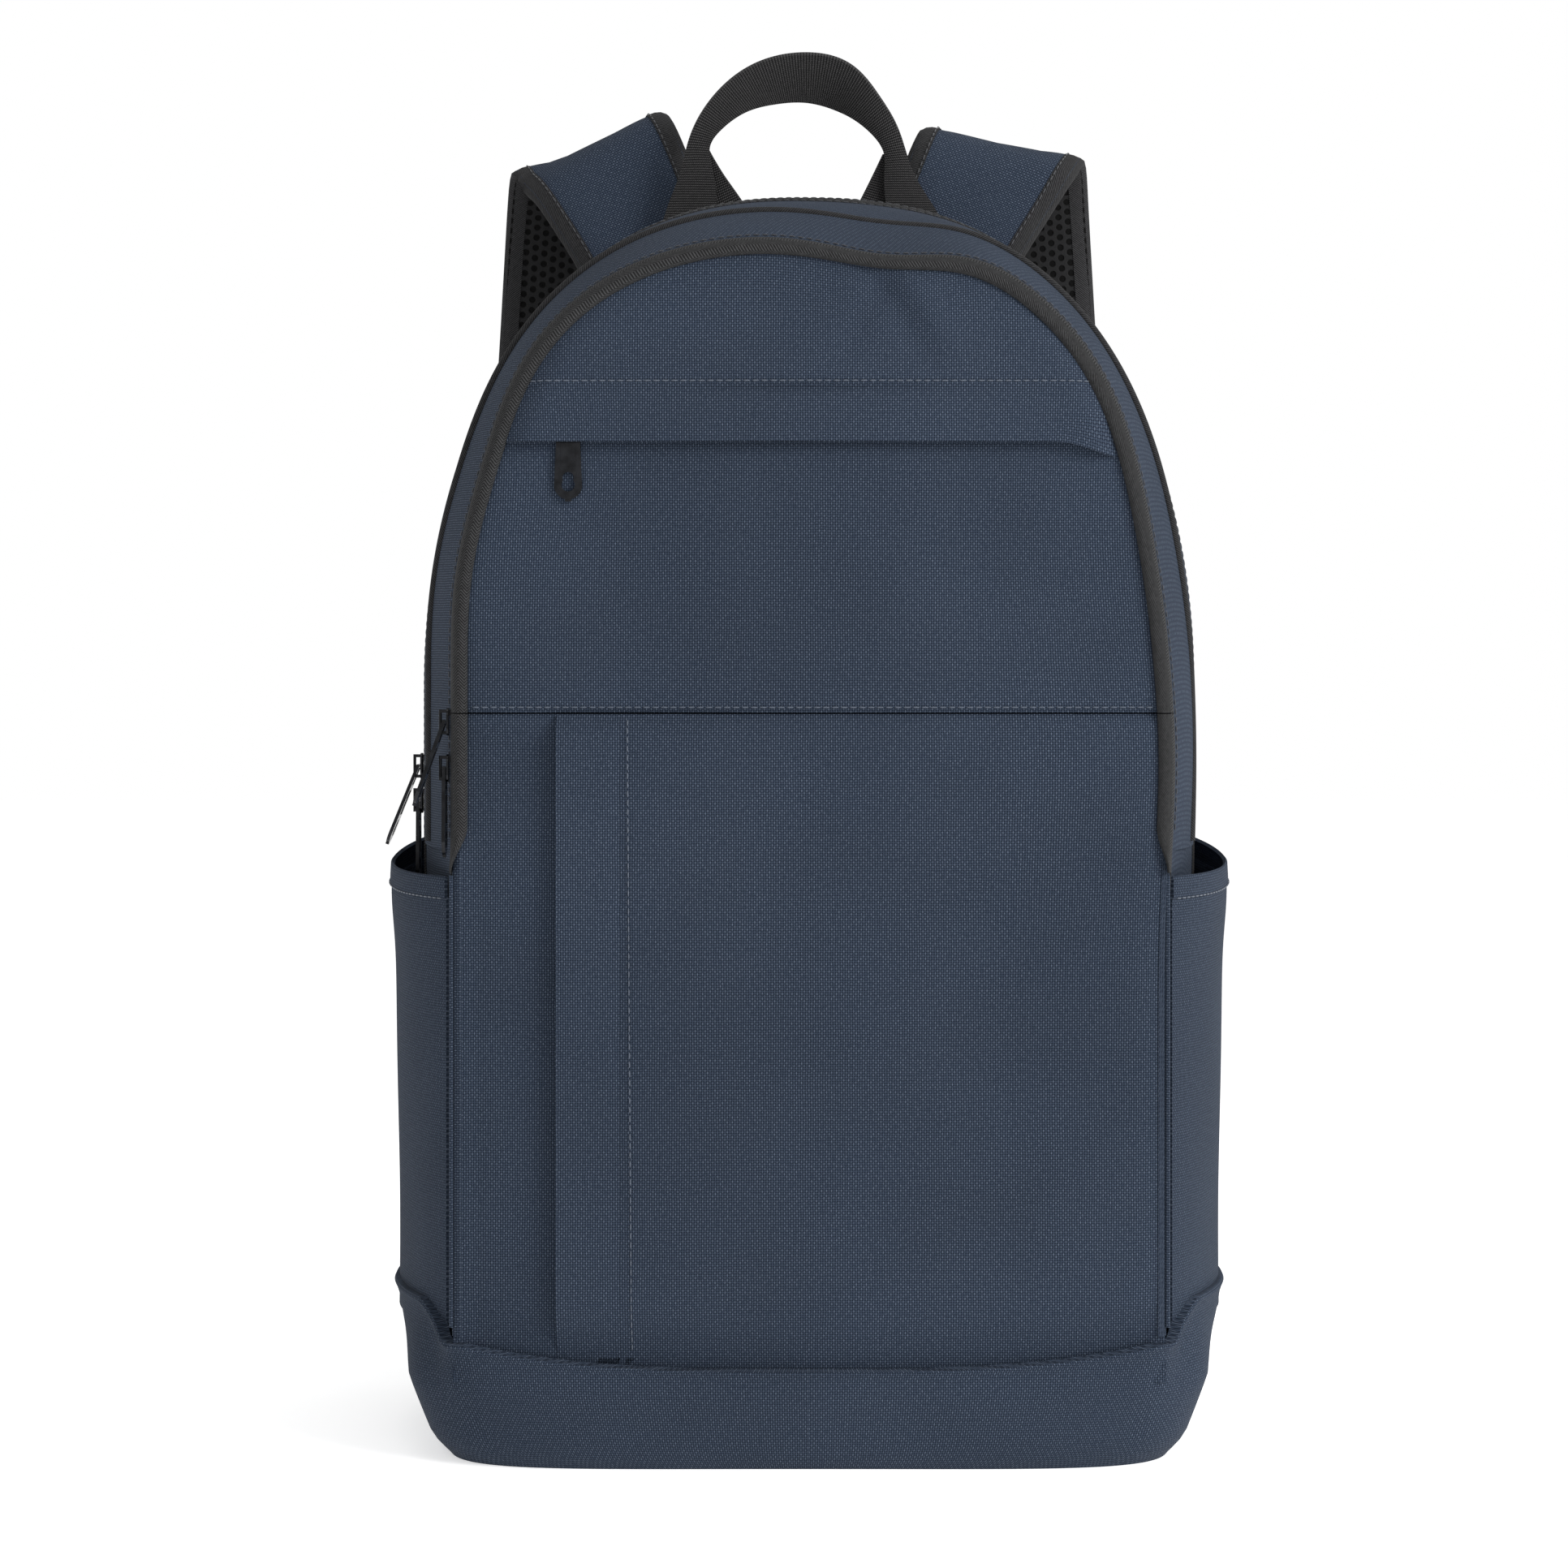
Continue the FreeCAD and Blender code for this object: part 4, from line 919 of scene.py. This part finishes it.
LININGS = (("divider_wall", -0.8, -4.5, 60, "bag_body", "compartment_divider", 0.8, 1.0, None, None),
           ("pocket_lining", -73.0, 0, 277, "front_flap", "pocket_bag", 0.5, 0.3, 97, 375),
           ("placket_lining", -73.4, 0, 62, "bag_body", "placket_bag", 0.5, 0.3, 111, 251))
for name, y, grow, floor, body, node, thick, sag, x_half, top_z in LININGS:
    sheet, width, length, area = face_sheet(name, y, grow, floor, body, LINING, [node], thick, sag,
                                            x_half, top_z)
face_sheet("back_wall", 72.2, -0.8, 54, "bag_body", NAVY, ["back_panel"], thick=1.0)


# ------------------------------------------------------------------ back padding

def pad_block(y0, y1, inset, floor):
    """A closed arched block, as the pattern that a pad is stuffed into."""
    outline_x, outline_z, _ = half_outline(72.0, -inset, floor, 90)
    ring_x = np.concatenate([-outline_x, outline_x[::-1][1:]])
    ring_z = np.concatenate([outline_z, outline_z[::-1][1:]])
    bm = bmesh.new()
    loops = []
    for y in (y0, y1):
        loops.append([bm.verts.new((x, y, z)) for x, z in zip(ring_x, ring_z)])
        bm.faces.new(loops[-1])
    total = len(ring_x)
    for i in range(total):
        j = (i + 1) % total
        bm.faces.new((loops[0][i], loops[0][j], loops[1][j], loops[1][i]))
    bmesh.ops.recalc_face_normals(bm, faces=bm.faces[:])
    bmesh.ops.triangulate(bm, faces=bm.faces[:])
    return bm


CLOTH_FRAMES, CLOTH_QUALITY, CLOTH_TENSION = 20, 5, 12


def stuff(obj, cap_mm, pressure=4.0, voxel=0.0055):
    """Swells a block into a pad: remesh, cloth under pressure, a cap on how far it moves, one subdivision."""
    remesh = obj.modifiers.new("voxels", "REMESH")
    remesh.mode = "VOXEL"
    remesh.voxel_size = voxel
    bake(obj)
    start = np.array([v.co for v in obj.data.vertices])
    cloth = obj.modifiers.new("cloth", "CLOTH")
    cloth.settings.quality = CLOTH_QUALITY
    cloth.settings.use_pressure = True
    cloth.settings.uniform_pressure_force = pressure
    cloth.settings.effector_weights.gravity = 0
    cloth.settings.tension_stiffness = CLOTH_TENSION
    cloth.collision_settings.use_collision = False
    cloth.point_cache.frame_start, cloth.point_cache.frame_end = 1, CLOTH_FRAMES
    for number in range(1, CLOTH_FRAMES + 1):
        bpy.context.scene.frame_set(number)
    bake(obj)
    bpy.context.scene.frame_set(1)
    now = np.array([v.co for v in obj.data.vertices])
    move = now - start
    far = np.linalg.norm(move, axis=1, keepdims=True)
    now = start + move * np.minimum(1.0, cap_mm * MM / np.maximum(far, 1e-9))
    obj.data.vertices.foreach_set("co", now.ravel())
    obj.data.update()
    refine = obj.modifiers.new("refine", "SUBSURF")
    refine.levels = refine.render_levels = 1
    bake(obj)


def flat_uv(obj, axes=(0, 2)):
    """Cloth directions read straight off two axes, for a piece that lies nearly flat."""
    layer = obj.data.uv_layers.get(UV) or obj.data.uv_layers.new(name=UV)
    co = np.array([v.co for v in obj.data.vertices])
    index = np.array([loop.vertex_index for loop in obj.data.loops])
    layer.data.foreach_set("uv", co[index][:, list(axes)].ravel())


PAD_CHANNEL_XS, PAD_CHANNEL_ZS, PAD_CHANNEL_DEPTH, PAD_CEILING = (-46.0, 46.0), (150.0, 235.0,
                                                                                 320.0), 4.2, 84.5


def back_pad():
    obj = piece(pad_block(73.2, 79.4, 13.0, 68.0), "back_pad", None, MESH, inward=None, sharp=60)
    stuff(obj, 5.0)
    co = np.array([v.co for v in obj.data.vertices]) / MM
    rear = smooth(co[:, 1], 75.5, 78.0)
    groove = np.zeros(len(co))
    for x in PAD_CHANNEL_XS:
        groove = np.maximum(groove, bump(co[:, 0], x + 0.04 * (co[:, 2] - 240), 4.2) * (co[:, 2] < 392))
    for z in PAD_CHANNEL_ZS:
        groove = np.maximum(groove, bump(co[:, 2], z - 0.0009 * co[:, 0] ** 2, 3.6)
                            * (np.abs(co[:, 0]) < 118))
    co[:, 1] = np.where(rear > 0, co[:, 1] - rear * (PAD_CHANNEL_DEPTH * groove), co[:, 1])
    ceiling = PAD_CEILING - 3.2 * smooth(co[:, 2], 372, 400)
    co[:, 1] = np.minimum(co[:, 1], ceiling)
    obj.data.vertices.foreach_set("co", (co * MM).ravel())
    obj.data.update()
    obj.data.shade_smooth()
    flat_uv(obj)
    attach(obj, "bag_body")
    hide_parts("back_foam", "back_mesh")


back_pad()


def tube(name, body, line, radius, material, sides=10):
    """A cord of cloth sewn along an edge."""
    line = np.array(line)
    run = directions(line)
    side = np.cross(run, (0.0, 1.0, 0.0))
    side /= np.linalg.norm(side, axis=1, keepdims=True)
    other = np.cross(run, side)
    a = np.linspace(0, 2 * np.pi, sides, endpoint=False)
    rows = line[:, None, :] + radius * (np.cos(a)[None, :, None] * side[:, None, :]
                                        + np.sin(a)[None, :, None] * other[:, None, :])
    along = run_length(line)
    uv = np.stack(np.broadcast_arrays(along[:, None], (a * radius)[None, :]), -1)
    bm = grid_mesh(rows, uv, wrap=True)
    cap(bm, 0, (len(line) - 1) * sides, sides)
    return piece(bm, name, body, material, inward=None)


FRONT_SEAM_Y, FRONT_SEAM_Z = -77.2, (50, 206)
tube("back_edge_piping", "bag_body", resample(arch_line(72.6, -2.6, 56), step=3.0), 2.3, BLACK_TWILL)
tube("gusset_binding", "bag_body", resample(arch_line(-36.0, 1.5, SPLIT_Z + 2), step=3.0), 1.5, BLACK_TWILL)
for side, x in (("left", -123.6), ("right", 123.9)):
    seam = [(x, FRONT_SEAM_Y, z) for z in np.linspace(*FRONT_SEAM_Z, 60)]
    tube("front_seam_" + side, "bag_body", seam, 0.8, NAVY, sides=8)


# ------------------------------------------------------------------ shoulder straps

STRAP_WIDTH, STRAP_LOW_WIDTH, STRAP_HALF = 65.0, 46.0, 4.8
STRAP_SHIFT = {-1: 0.0, 1: 9.0}
STRAP_CANT = {-1: 25.0, 1: 9.0}
STRAP_STATIONS = ((60, 87.8, 423), (64, 89.5, 441), (74, 94.5, 464), (83, 104, 480), (86, 114, 481),
                  (88, 123, 468),
                  (90, 128, 440), (94, 131, 380), (100, 130, 310), (106, 124, 240), (110, 112, 185),
                  (112, 103, 152))


def strap_frames(sign, count=110):
    route = spline([(sign * (x - STRAP_SHIFT[sign]), y, z) for x, y, z in STRAP_STATIONS], count)
    run = directions(route)
    share = np.linspace(0, 1, count)
    cant = np.radians(STRAP_CANT[sign] * np.sin(np.pi * np.minimum(1, share / 0.45)) + 4)
    across = np.stack([-sign * np.cos(cant), 0 * cant, np.sin(cant)], -1)
    across -= run * (across * run).sum(1, keepdims=True)
    across /= np.linalg.norm(across, axis=1, keepdims=True)
    normal = np.cross(run, across) * sign
    wide = np.minimum(1.0, 0.78 + share * 1.3) * STRAP_WIDTH
    narrow = STRAP_LOW_WIDTH + (STRAP_WIDTH - STRAP_LOW_WIDTH) * np.minimum(1.0, (1 - share) / 0.45)
    along = run_length(route)
    return route, across, normal, np.minimum(wide, narrow), along


def sweep(name, body, frames, section, material, replaces=(), rough=0.0, sharp=50):
    """Sweeps a cross-section, a function of width giving (across, up) points, along frames."""
    route, across, normal, width, along = frames
    rows, uv = [], []
    for i in range(len(route)):
        points = np.array(section(width[i], i / (len(route) - 1)))
        lift = (points[:, 1] + rough * ripple(points[:, 0] * 1.5, along[i] * 1.1) * np.sign(points[:, 1])
                * (np.abs(points[:, 1]) > 1.5))
        rows.append(route[i] + across[i] * points[:, :1] + normal[i] * lift[:, None])
        step = run_length(points)
        uv.append(np.stack([np.full(len(points), along[i]), step], -1))
    total = len(rows[0])
    bm = grid_mesh(np.array(rows), np.array(uv), wrap=True)
    cap(bm, 0, (len(route) - 1) * total, total)
    return piece(bm, name, body, material, replaces, inward=None, sharp=sharp)


def pad_half(upper):
    def section(width, share):
        s = np.linspace(-1, 1, 22)
        swell = (STRAP_HALF * (0.62 + 0.38 * np.cos(np.pi / 2 * np.abs(s) ** 3.2))
                 * (1 - 0.25 * bump(share, 1.0, 0.03)))
        outer = np.stack([s * (width / 2 - 1.4), swell if upper else -swell], -1)
        inner = np.stack([s[::-1] * (width / 2 - 1.4), np.full(22, -0.1)], -1)
        return np.concatenate([outer, inner])
    return section


def binding_edge(sign):
    def section(width, share):
        e, h = width / 2, STRAP_HALF * 0.70
        path = [(e - 7.2, h + 1.25), (e - 4, h + 0.75), (e - 1.6, h * 0.85 + 0.2), (e + 0.1, h * 0.4),
                (e + 0.35, 0), (e + 0.1, -h * 0.4),
                (e - 1.6, -h * 0.85 - 0.2), (e - 4, -h - 0.75), (e - 7.2, -h - 1.25), (e - 7.0, -h - 0.2),
                (e - 3, -h + 0.6), (e - 1.2, 0), (e - 3, h - 0.6), (e - 7.0, h + 0.2)]
        return [(sign * a, b) for a, b in path]
    return section


for sign, side in ((-1, "left"), (1, "right")):
    body = "shoulder_strap_" + side
    frames = strap_frames(sign)
    top = sweep("strap_canvas_pad_" + side, body, frames, pad_half(True), NAVY,
                ["strap_canvas_" + side, "strap_foam_" + side], rough=0.25)
    low = sweep("strap_mesh_pad_" + side, body, frames, pad_half(False), MESH,
                ["strap_mesh_" + side], rough=0.2)
    sweep("strap_edge_inner_" + side, body, frames, binding_edge(1), BLACK_TWILL,
          ["strap_binding_" + side])
    sweep("strap_edge_outer_" + side, body, frames, binding_edge(-1), BLACK_TWILL)
    route, across, normal, width, _ = frames
    rows = [route + across * (k * (width[:, None] / 2 - 6.3)) + normal * (STRAP_HALF * 0.7 + 1.55)
            for k in (-1, 1)]
    stitches("stitches_strap_" + side, body, rows, DARK_THREAD)
    end = route[-1]
    end_frames = (np.array([end + (0, 0, 7), end + (0, -1.6, 0), end + (0, -2.0, -1.6)]),
                  np.repeat([[1.0, 0, 0]], 3, 0),
                  np.repeat([[0, 1.0, 0]], 3, 0), np.array([47.2, 46.6, 45.0]), np.array([0, 7.2, 9.0]))

    def end_section(w, share):
        t = np.linspace(0, 2 * np.pi, 28, endpoint=False)
        h = 5.6 - 1.6 * share
        return np.stack([w / 2 * np.sign(np.cos(t)) * np.abs(np.cos(t)) ** 0.35,
                         h * np.sign(np.sin(t)) * np.abs(np.sin(t)) ** 0.6], -1)
    sweep("strap_end_" + side, body, end_frames, end_section, BLACK_TWILL)


# ------------------------------------------------------------------ webbing, buckles and anchors

def band_section(thick):
    def section(width, share):
        e, h = width / 2, thick / 2
        return [(-e, -h * 0.3), (-e + 0.5, -h), (e - 0.5, -h), (e, -h * 0.3), (e, h * 0.3), (e - 0.5, h),
                (-e + 0.5, h), (-e, h * 0.3)]
    return section


def plain_frames(route, width, across=(1.0, 0.0, 0.0)):
    run = directions(route)
    wide = np.repeat([across], len(route), 0)
    wide = wide - run * (wide * run).sum(1, keepdims=True)
    wide /= np.linalg.norm(wide, axis=1, keepdims=True)
    along = run_length(route)
    return route, wide, np.cross(wide, run), np.full(len(route), float(width)), along


for sign, side in ((-1, "left"), (1, "right")):
    lock_x, lock_y = sign * (112 - STRAP_SHIFT[sign]), 103.0
    route = spline([(sign * 108, 83.8, 50), (sign * 108, 85.2, 66), (sign * 108, 91.8, 84),
                    (lock_x + sign, lock_y + 8, 104),
                    (lock_x, lock_y + 5.4, 122), (lock_x, lock_y + 2.8, 128)], 40)
    web = sweep("low_webbing_" + side, None, plain_frames(route, 25), band_section(1.7), WEB,
                ["lower_webbing_" + side])
    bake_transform(web)
    tail = spline([(lock_x, lock_y - 2.6, 126), (lock_x, lock_y - 5.5, 118),
                   (lock_x - sign, lock_y - 6.5, 100), (lock_x - sign, lock_y - 5.5, 84)], 24)
    sweep("webbing_tail_" + side, "shoulder_strap_" + side, plain_frames(tail, 25), band_section(1.7), WEB)
    tab = np.array([(lock_x, lock_y + 3.4, 157.5), (lock_x, lock_y + 3.3, 150),
                    (lock_x, lock_y + 3.1, 145.8), (lock_x, lock_y + 1.6, 144.0),
                    (lock_x, lock_y - 1.6, 144.0), (lock_x, lock_y - 3.1, 145.8),
                    (lock_x, lock_y - 3.3, 150), (lock_x, lock_y - 3.4, 155.5)])
    sweep("lock_loop_" + side, "shoulder_strap_" + side, plain_frames(tab, 24.6), band_section(1.4), WEB,
          ["lock_tab_" + side])
    paint(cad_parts["ladder_lock_" + side], PLASTIC)
    u, v = np.meshgrid(np.linspace(0, 1, 16), np.linspace(0, 1, 16))
    x_in, x_out = 84 + 20 * u, 120 + 0 * u
    flap = np.stack([sign * (x_in + (x_out - x_in) * v),
                     82.9 + 0.7 * np.sin(np.pi * u) * np.sin(np.pi * v) - 3.2 * (1 - smooth(u, 0, 0.12)),
                     22 + 35 * u], -1)
    piece(grid_mesh(flap, flap[..., (0, 2)]), "anchor_flap_" + side, "bag_body", NAVY,
          ["strap_anchor_" + side], thick=2.4)
    box_line = [(sign * 97.5, 84.4, 33), (sign * 118, 84.4, 33), (sign * 118, 84.4, 53),
                (sign * 104.5, 84.4, 53), (sign * 97.5, 84.4, 33)]
    stitches("stitches_anchor_" + side, "bag_body", [resample(box_line, step=2.0)])


# ------------------------------------------------------------------ yoke and haul loop

def yoke():
    u, v = np.meshgrid(np.linspace(-1, 1, 50), np.linspace(0, 1, 14))
    z = 394 + 33 * v - 6 * u ** 2 * (1 - v)
    edge_x, edge_z, _ = half_outline(72.0, -5.0, 60.0, 200)
    x = u * np.minimum(99 - 5 * v, np.interp(z, edge_z, edge_x))
    y = 83.0 + 0.5 * ripple(x, z) - 1.6 * np.abs(u) ** 8
    rows = np.stack([x, y, z], -1)
    piece(grid_mesh(rows, rows[..., (0, 2)]), "yoke_patch", "bag_body", NAVY, ["strap_yoke"],
          thick=2.0)
    stitches("stitches_yoke", "bag_body", [[(x, 83.7, 397.5 + 0 * x) for x in np.linspace(-84, 84, 100)],
                                           [(x, 83.7, 423.5) for x in np.linspace(-90, 90, 100)]])


yoke()

LOOP_Y = 77.5
LOOP_PATH = ((-46.5, 447, 0, 23.0, 2.6, 0), (-45.2, 458, 0, 19.0, 3.4, 0), (-43.8, 469, 0, 13.5, 4.4, 2),
             (-43.2, 480, 3, 9.0, 5.0, 6),
             (-38.6, 489.5, 30, 10.0, 4.2, 18), (-29, 499, 46, 14.0, 3.0, 28),
             (-15.5, 505.4, 68, 19.5, 2.0, 38), (-1.5, 507.2, 90, 21.5, 1.8, 40),
             (12, 504, 113, 20.5, 2.0, 36), (22, 496, 136, 14.0, 3.0, 26), (29.4, 487.0, 150, 10.0, 4.2, 14),
             (33.4, 478, 172, 8.6, 5.0, 6),
             (35.2, 469, 180, 12.0, 4.4, 2), (38.8, 458, 180, 18.0, 3.4, 0), (42.8, 447, 180, 23.0, 2.6, 0))


def loop_frames():
    keys = np.array(LOOP_PATH, float)
    packed = spline(np.stack([keys[:, 0], np.full(len(keys), LOOP_Y), keys[:, 1], keys[:, 2], keys[:, 3],
                              keys[:, 5]], -1), 150)
    turn, tilt = np.radians(packed[:, 3]), np.radians(packed[:, 5])
    radial = np.stack([-np.cos(turn), 0 * turn, np.sin(turn)], -1)
    y_axis = np.array((0.0, 1.0, 0.0))
    across = radial * np.cos(tilt)[:, None] - y_axis * np.sin(tilt)[:, None]
    normal = y_axis * np.cos(tilt)[:, None] + radial * np.sin(tilt)[:, None]
    route = packed[:, :3]
    along = run_length(route)
    return route, across, normal, packed[:, 4], along


def loop_section(width, share):
    """Webbing, flat where it is wide and folded round on itself where it narrows to a neck."""
    fold = float(np.clip((25 - width) / 13, 0, 1))
    s = np.linspace(-1, 1, 17)
    curl = -3.0 * fold * (1 - s ** 2)
    thick = 0.95 + 0.35 * fold
    top = np.stack([s * width / 2, curl + thick + 0.35 * fold * np.cos(3 * np.pi * s)], -1)
    bottom = np.stack([s[::-1] * width / 2, (curl - thick)[::-1] + 2.2 * fold * (1 - s[::-1] ** 2)], -1)
    return np.concatenate([top, bottom])


sweep("haul_loop_webbing", "haul_loop", loop_frames(), loop_section, WEB, ["haul_loop"], sharp=60)
for name, points in (("left_rear", [(-42.0, 80.2, 479), (-38.0, 80.6, 468), (-33.0, 80.4, 457),
                                    (-28.5, 79.8, 446)]),
                     ("right_rear", [(31.5, 79.4, 477), (29.0, 79.8, 467), (26.0, 79.8, 456),
                                     (23.0, 79.4, 446)])):
    leaf = spline(points, 30)
    route, across, normal, _, along = plain_frames(leaf, 20)
    sweep("haul_loop_leaf_" + name, "haul_loop", (route, across, normal, np.linspace(6.0, 19.0, 30), along),
          band_section(1.7), WEB)


# ------------------------------------------------------------------ carried-over CAD pieces

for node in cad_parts.values():
    if node.name.endswith("_slider") or node.name.endswith("_pull"):
        paint(node, METAL)
        node.data.shade_smooth()
        node.data.set_sharp_from_angle(angle=math.radians(30))
    if node.name == "base_board":
        paint(node, BOARD)
    if node.name.startswith("pocket_zip") or node.name.startswith("placket_zip"):
        paint(node, PLAIN_TWILL)


SLEEVE_Y, SLEEVE_MIDDLE_Z = 50, 181
SLEEVE_HALF_WIDTH, SLEEVE_HALF_HEIGHT, SLEEVE_HALF_THICKNESS = 118, 120, 2.6


def sleeve():
    rows, uv = [], []
    for x in np.linspace(-SLEEVE_HALF_WIDTH, SLEEVE_HALF_WIDTH, 40):
        row = []
        for k in range(40):
            a = 2 * math.pi * k / 40
            edge = 1 - 0.35 * (abs(x) / SLEEVE_HALF_WIDTH) ** 8
            y = SLEEVE_Y + SLEEVE_HALF_THICKNESS * math.copysign(abs(math.sin(a)) ** 0.8, math.sin(a)) * edge
            z = SLEEVE_MIDDLE_Z + SLEEVE_HALF_HEIGHT * math.copysign(abs(math.cos(a)) ** 0.25, math.cos(a))
            row.append((x, y, z))
        rows.append(row)
        uv.append([(x, p[2]) for p in row])
    bm = grid_mesh(np.array(rows), np.array(uv), wrap=True)
    cap(bm, 0, 39 * 40, 40)
    obj = piece(bm, "laptop_pad", "bag_body", LINING, ["laptop_sleeve"], inward=None)


sleeve()


# ------------------------------------------------------------------ floor, light and camera

WORLD_LIGHT, FLOOR_GLOW, FLOOR_HALF_SIZE = 0.52, 0.50, 6.0
LAMP_AIM = (0, 0, 0.25)
LAMPS = (("key", (1.7, -1.2, 1.2), 1.1, 44), ("fill", (-0.6, -2.2, 1.2), 1.4, 6),
         ("top", (0.1, -0.2, 2.2), 1.4, 8))
CAMERA_PLACE, LENS_MM, SENSOR_MM, FAR_CLIP = (0.0, -1.3, 0.2785), 81.3, 36.0, 50
CAMERA_SHIFT = (-0.016046, -0.075569)  # shares of the frame's width


def stage():
    bm = bmesh.new()
    bmesh.ops.create_grid(bm, x_segments=40, y_segments=40, size=FLOOR_HALF_SIZE)
    mesh = bpy.data.meshes.new("floor")
    bm.to_mesh(mesh)
    bm.free()
    floor = bpy.data.objects.new("floor", mesh)
    bpy.context.scene.collection.objects.link(floor)
    s = Shader("pale_floor", roughness=0.9)
    s.colour(s.mix(s.noise(3, 2), (0.95, 0.95, 0.95), (0.97, 0.97, 0.97)))
    s.shader.inputs["Emission Color"].default_value = (1.0, 1.0, 1.0, 1.0)
    s.shader.inputs["Emission Strength"].default_value = FLOOR_GLOW
    mesh.materials.append(s.mat)
    world = bpy.data.worlds.new("studio")
    bpy.context.scene.world = world
    world.use_nodes = True
    world.node_tree.nodes["Background"].inputs["Color"].default_value = (1.0, 1.0, 1.0, 1)
    tree = world.node_tree
    dim = tree.nodes.new("ShaderNodeMapRange")
    dim.inputs["To Min"].default_value = WORLD_LIGHT
    tree.links.new(tree.nodes.new("ShaderNodeLightPath").outputs["Is Camera Ray"], dim.inputs["Value"])
    tree.links.new(dim.outputs[0], tree.nodes["Background"].inputs["Strength"])
    for name, place, size, power in LAMPS:
        data = bpy.data.lights.new(name, "AREA")
        data.energy, data.size = power, size
        lamp = bpy.data.objects.new(name, data)
        lamp.location = place
        lamp.rotation_euler = (Vector(LAMP_AIM) - Vector(place)).to_track_quat("-Z", "Y").to_euler()
        bpy.context.scene.collection.objects.link(lamp)
    bpy.context.scene.view_settings.view_transform = "Standard"
    data = bpy.data.cameras.new("camera")
    data.lens, data.sensor_width = LENS_MM, SENSOR_MM
    data.shift_x, data.shift_y = CAMERA_SHIFT
    data.clip_end = FAR_CLIP
    camera = bpy.data.objects.new("camera", data)
    camera.location = CAMERA_PLACE
    camera.rotation_euler = (math.pi / 2, 0, 0)
    bpy.context.scene.collection.objects.link(camera)
    bpy.context.scene.camera = camera


stage()
bpy.context.view_layer.update()
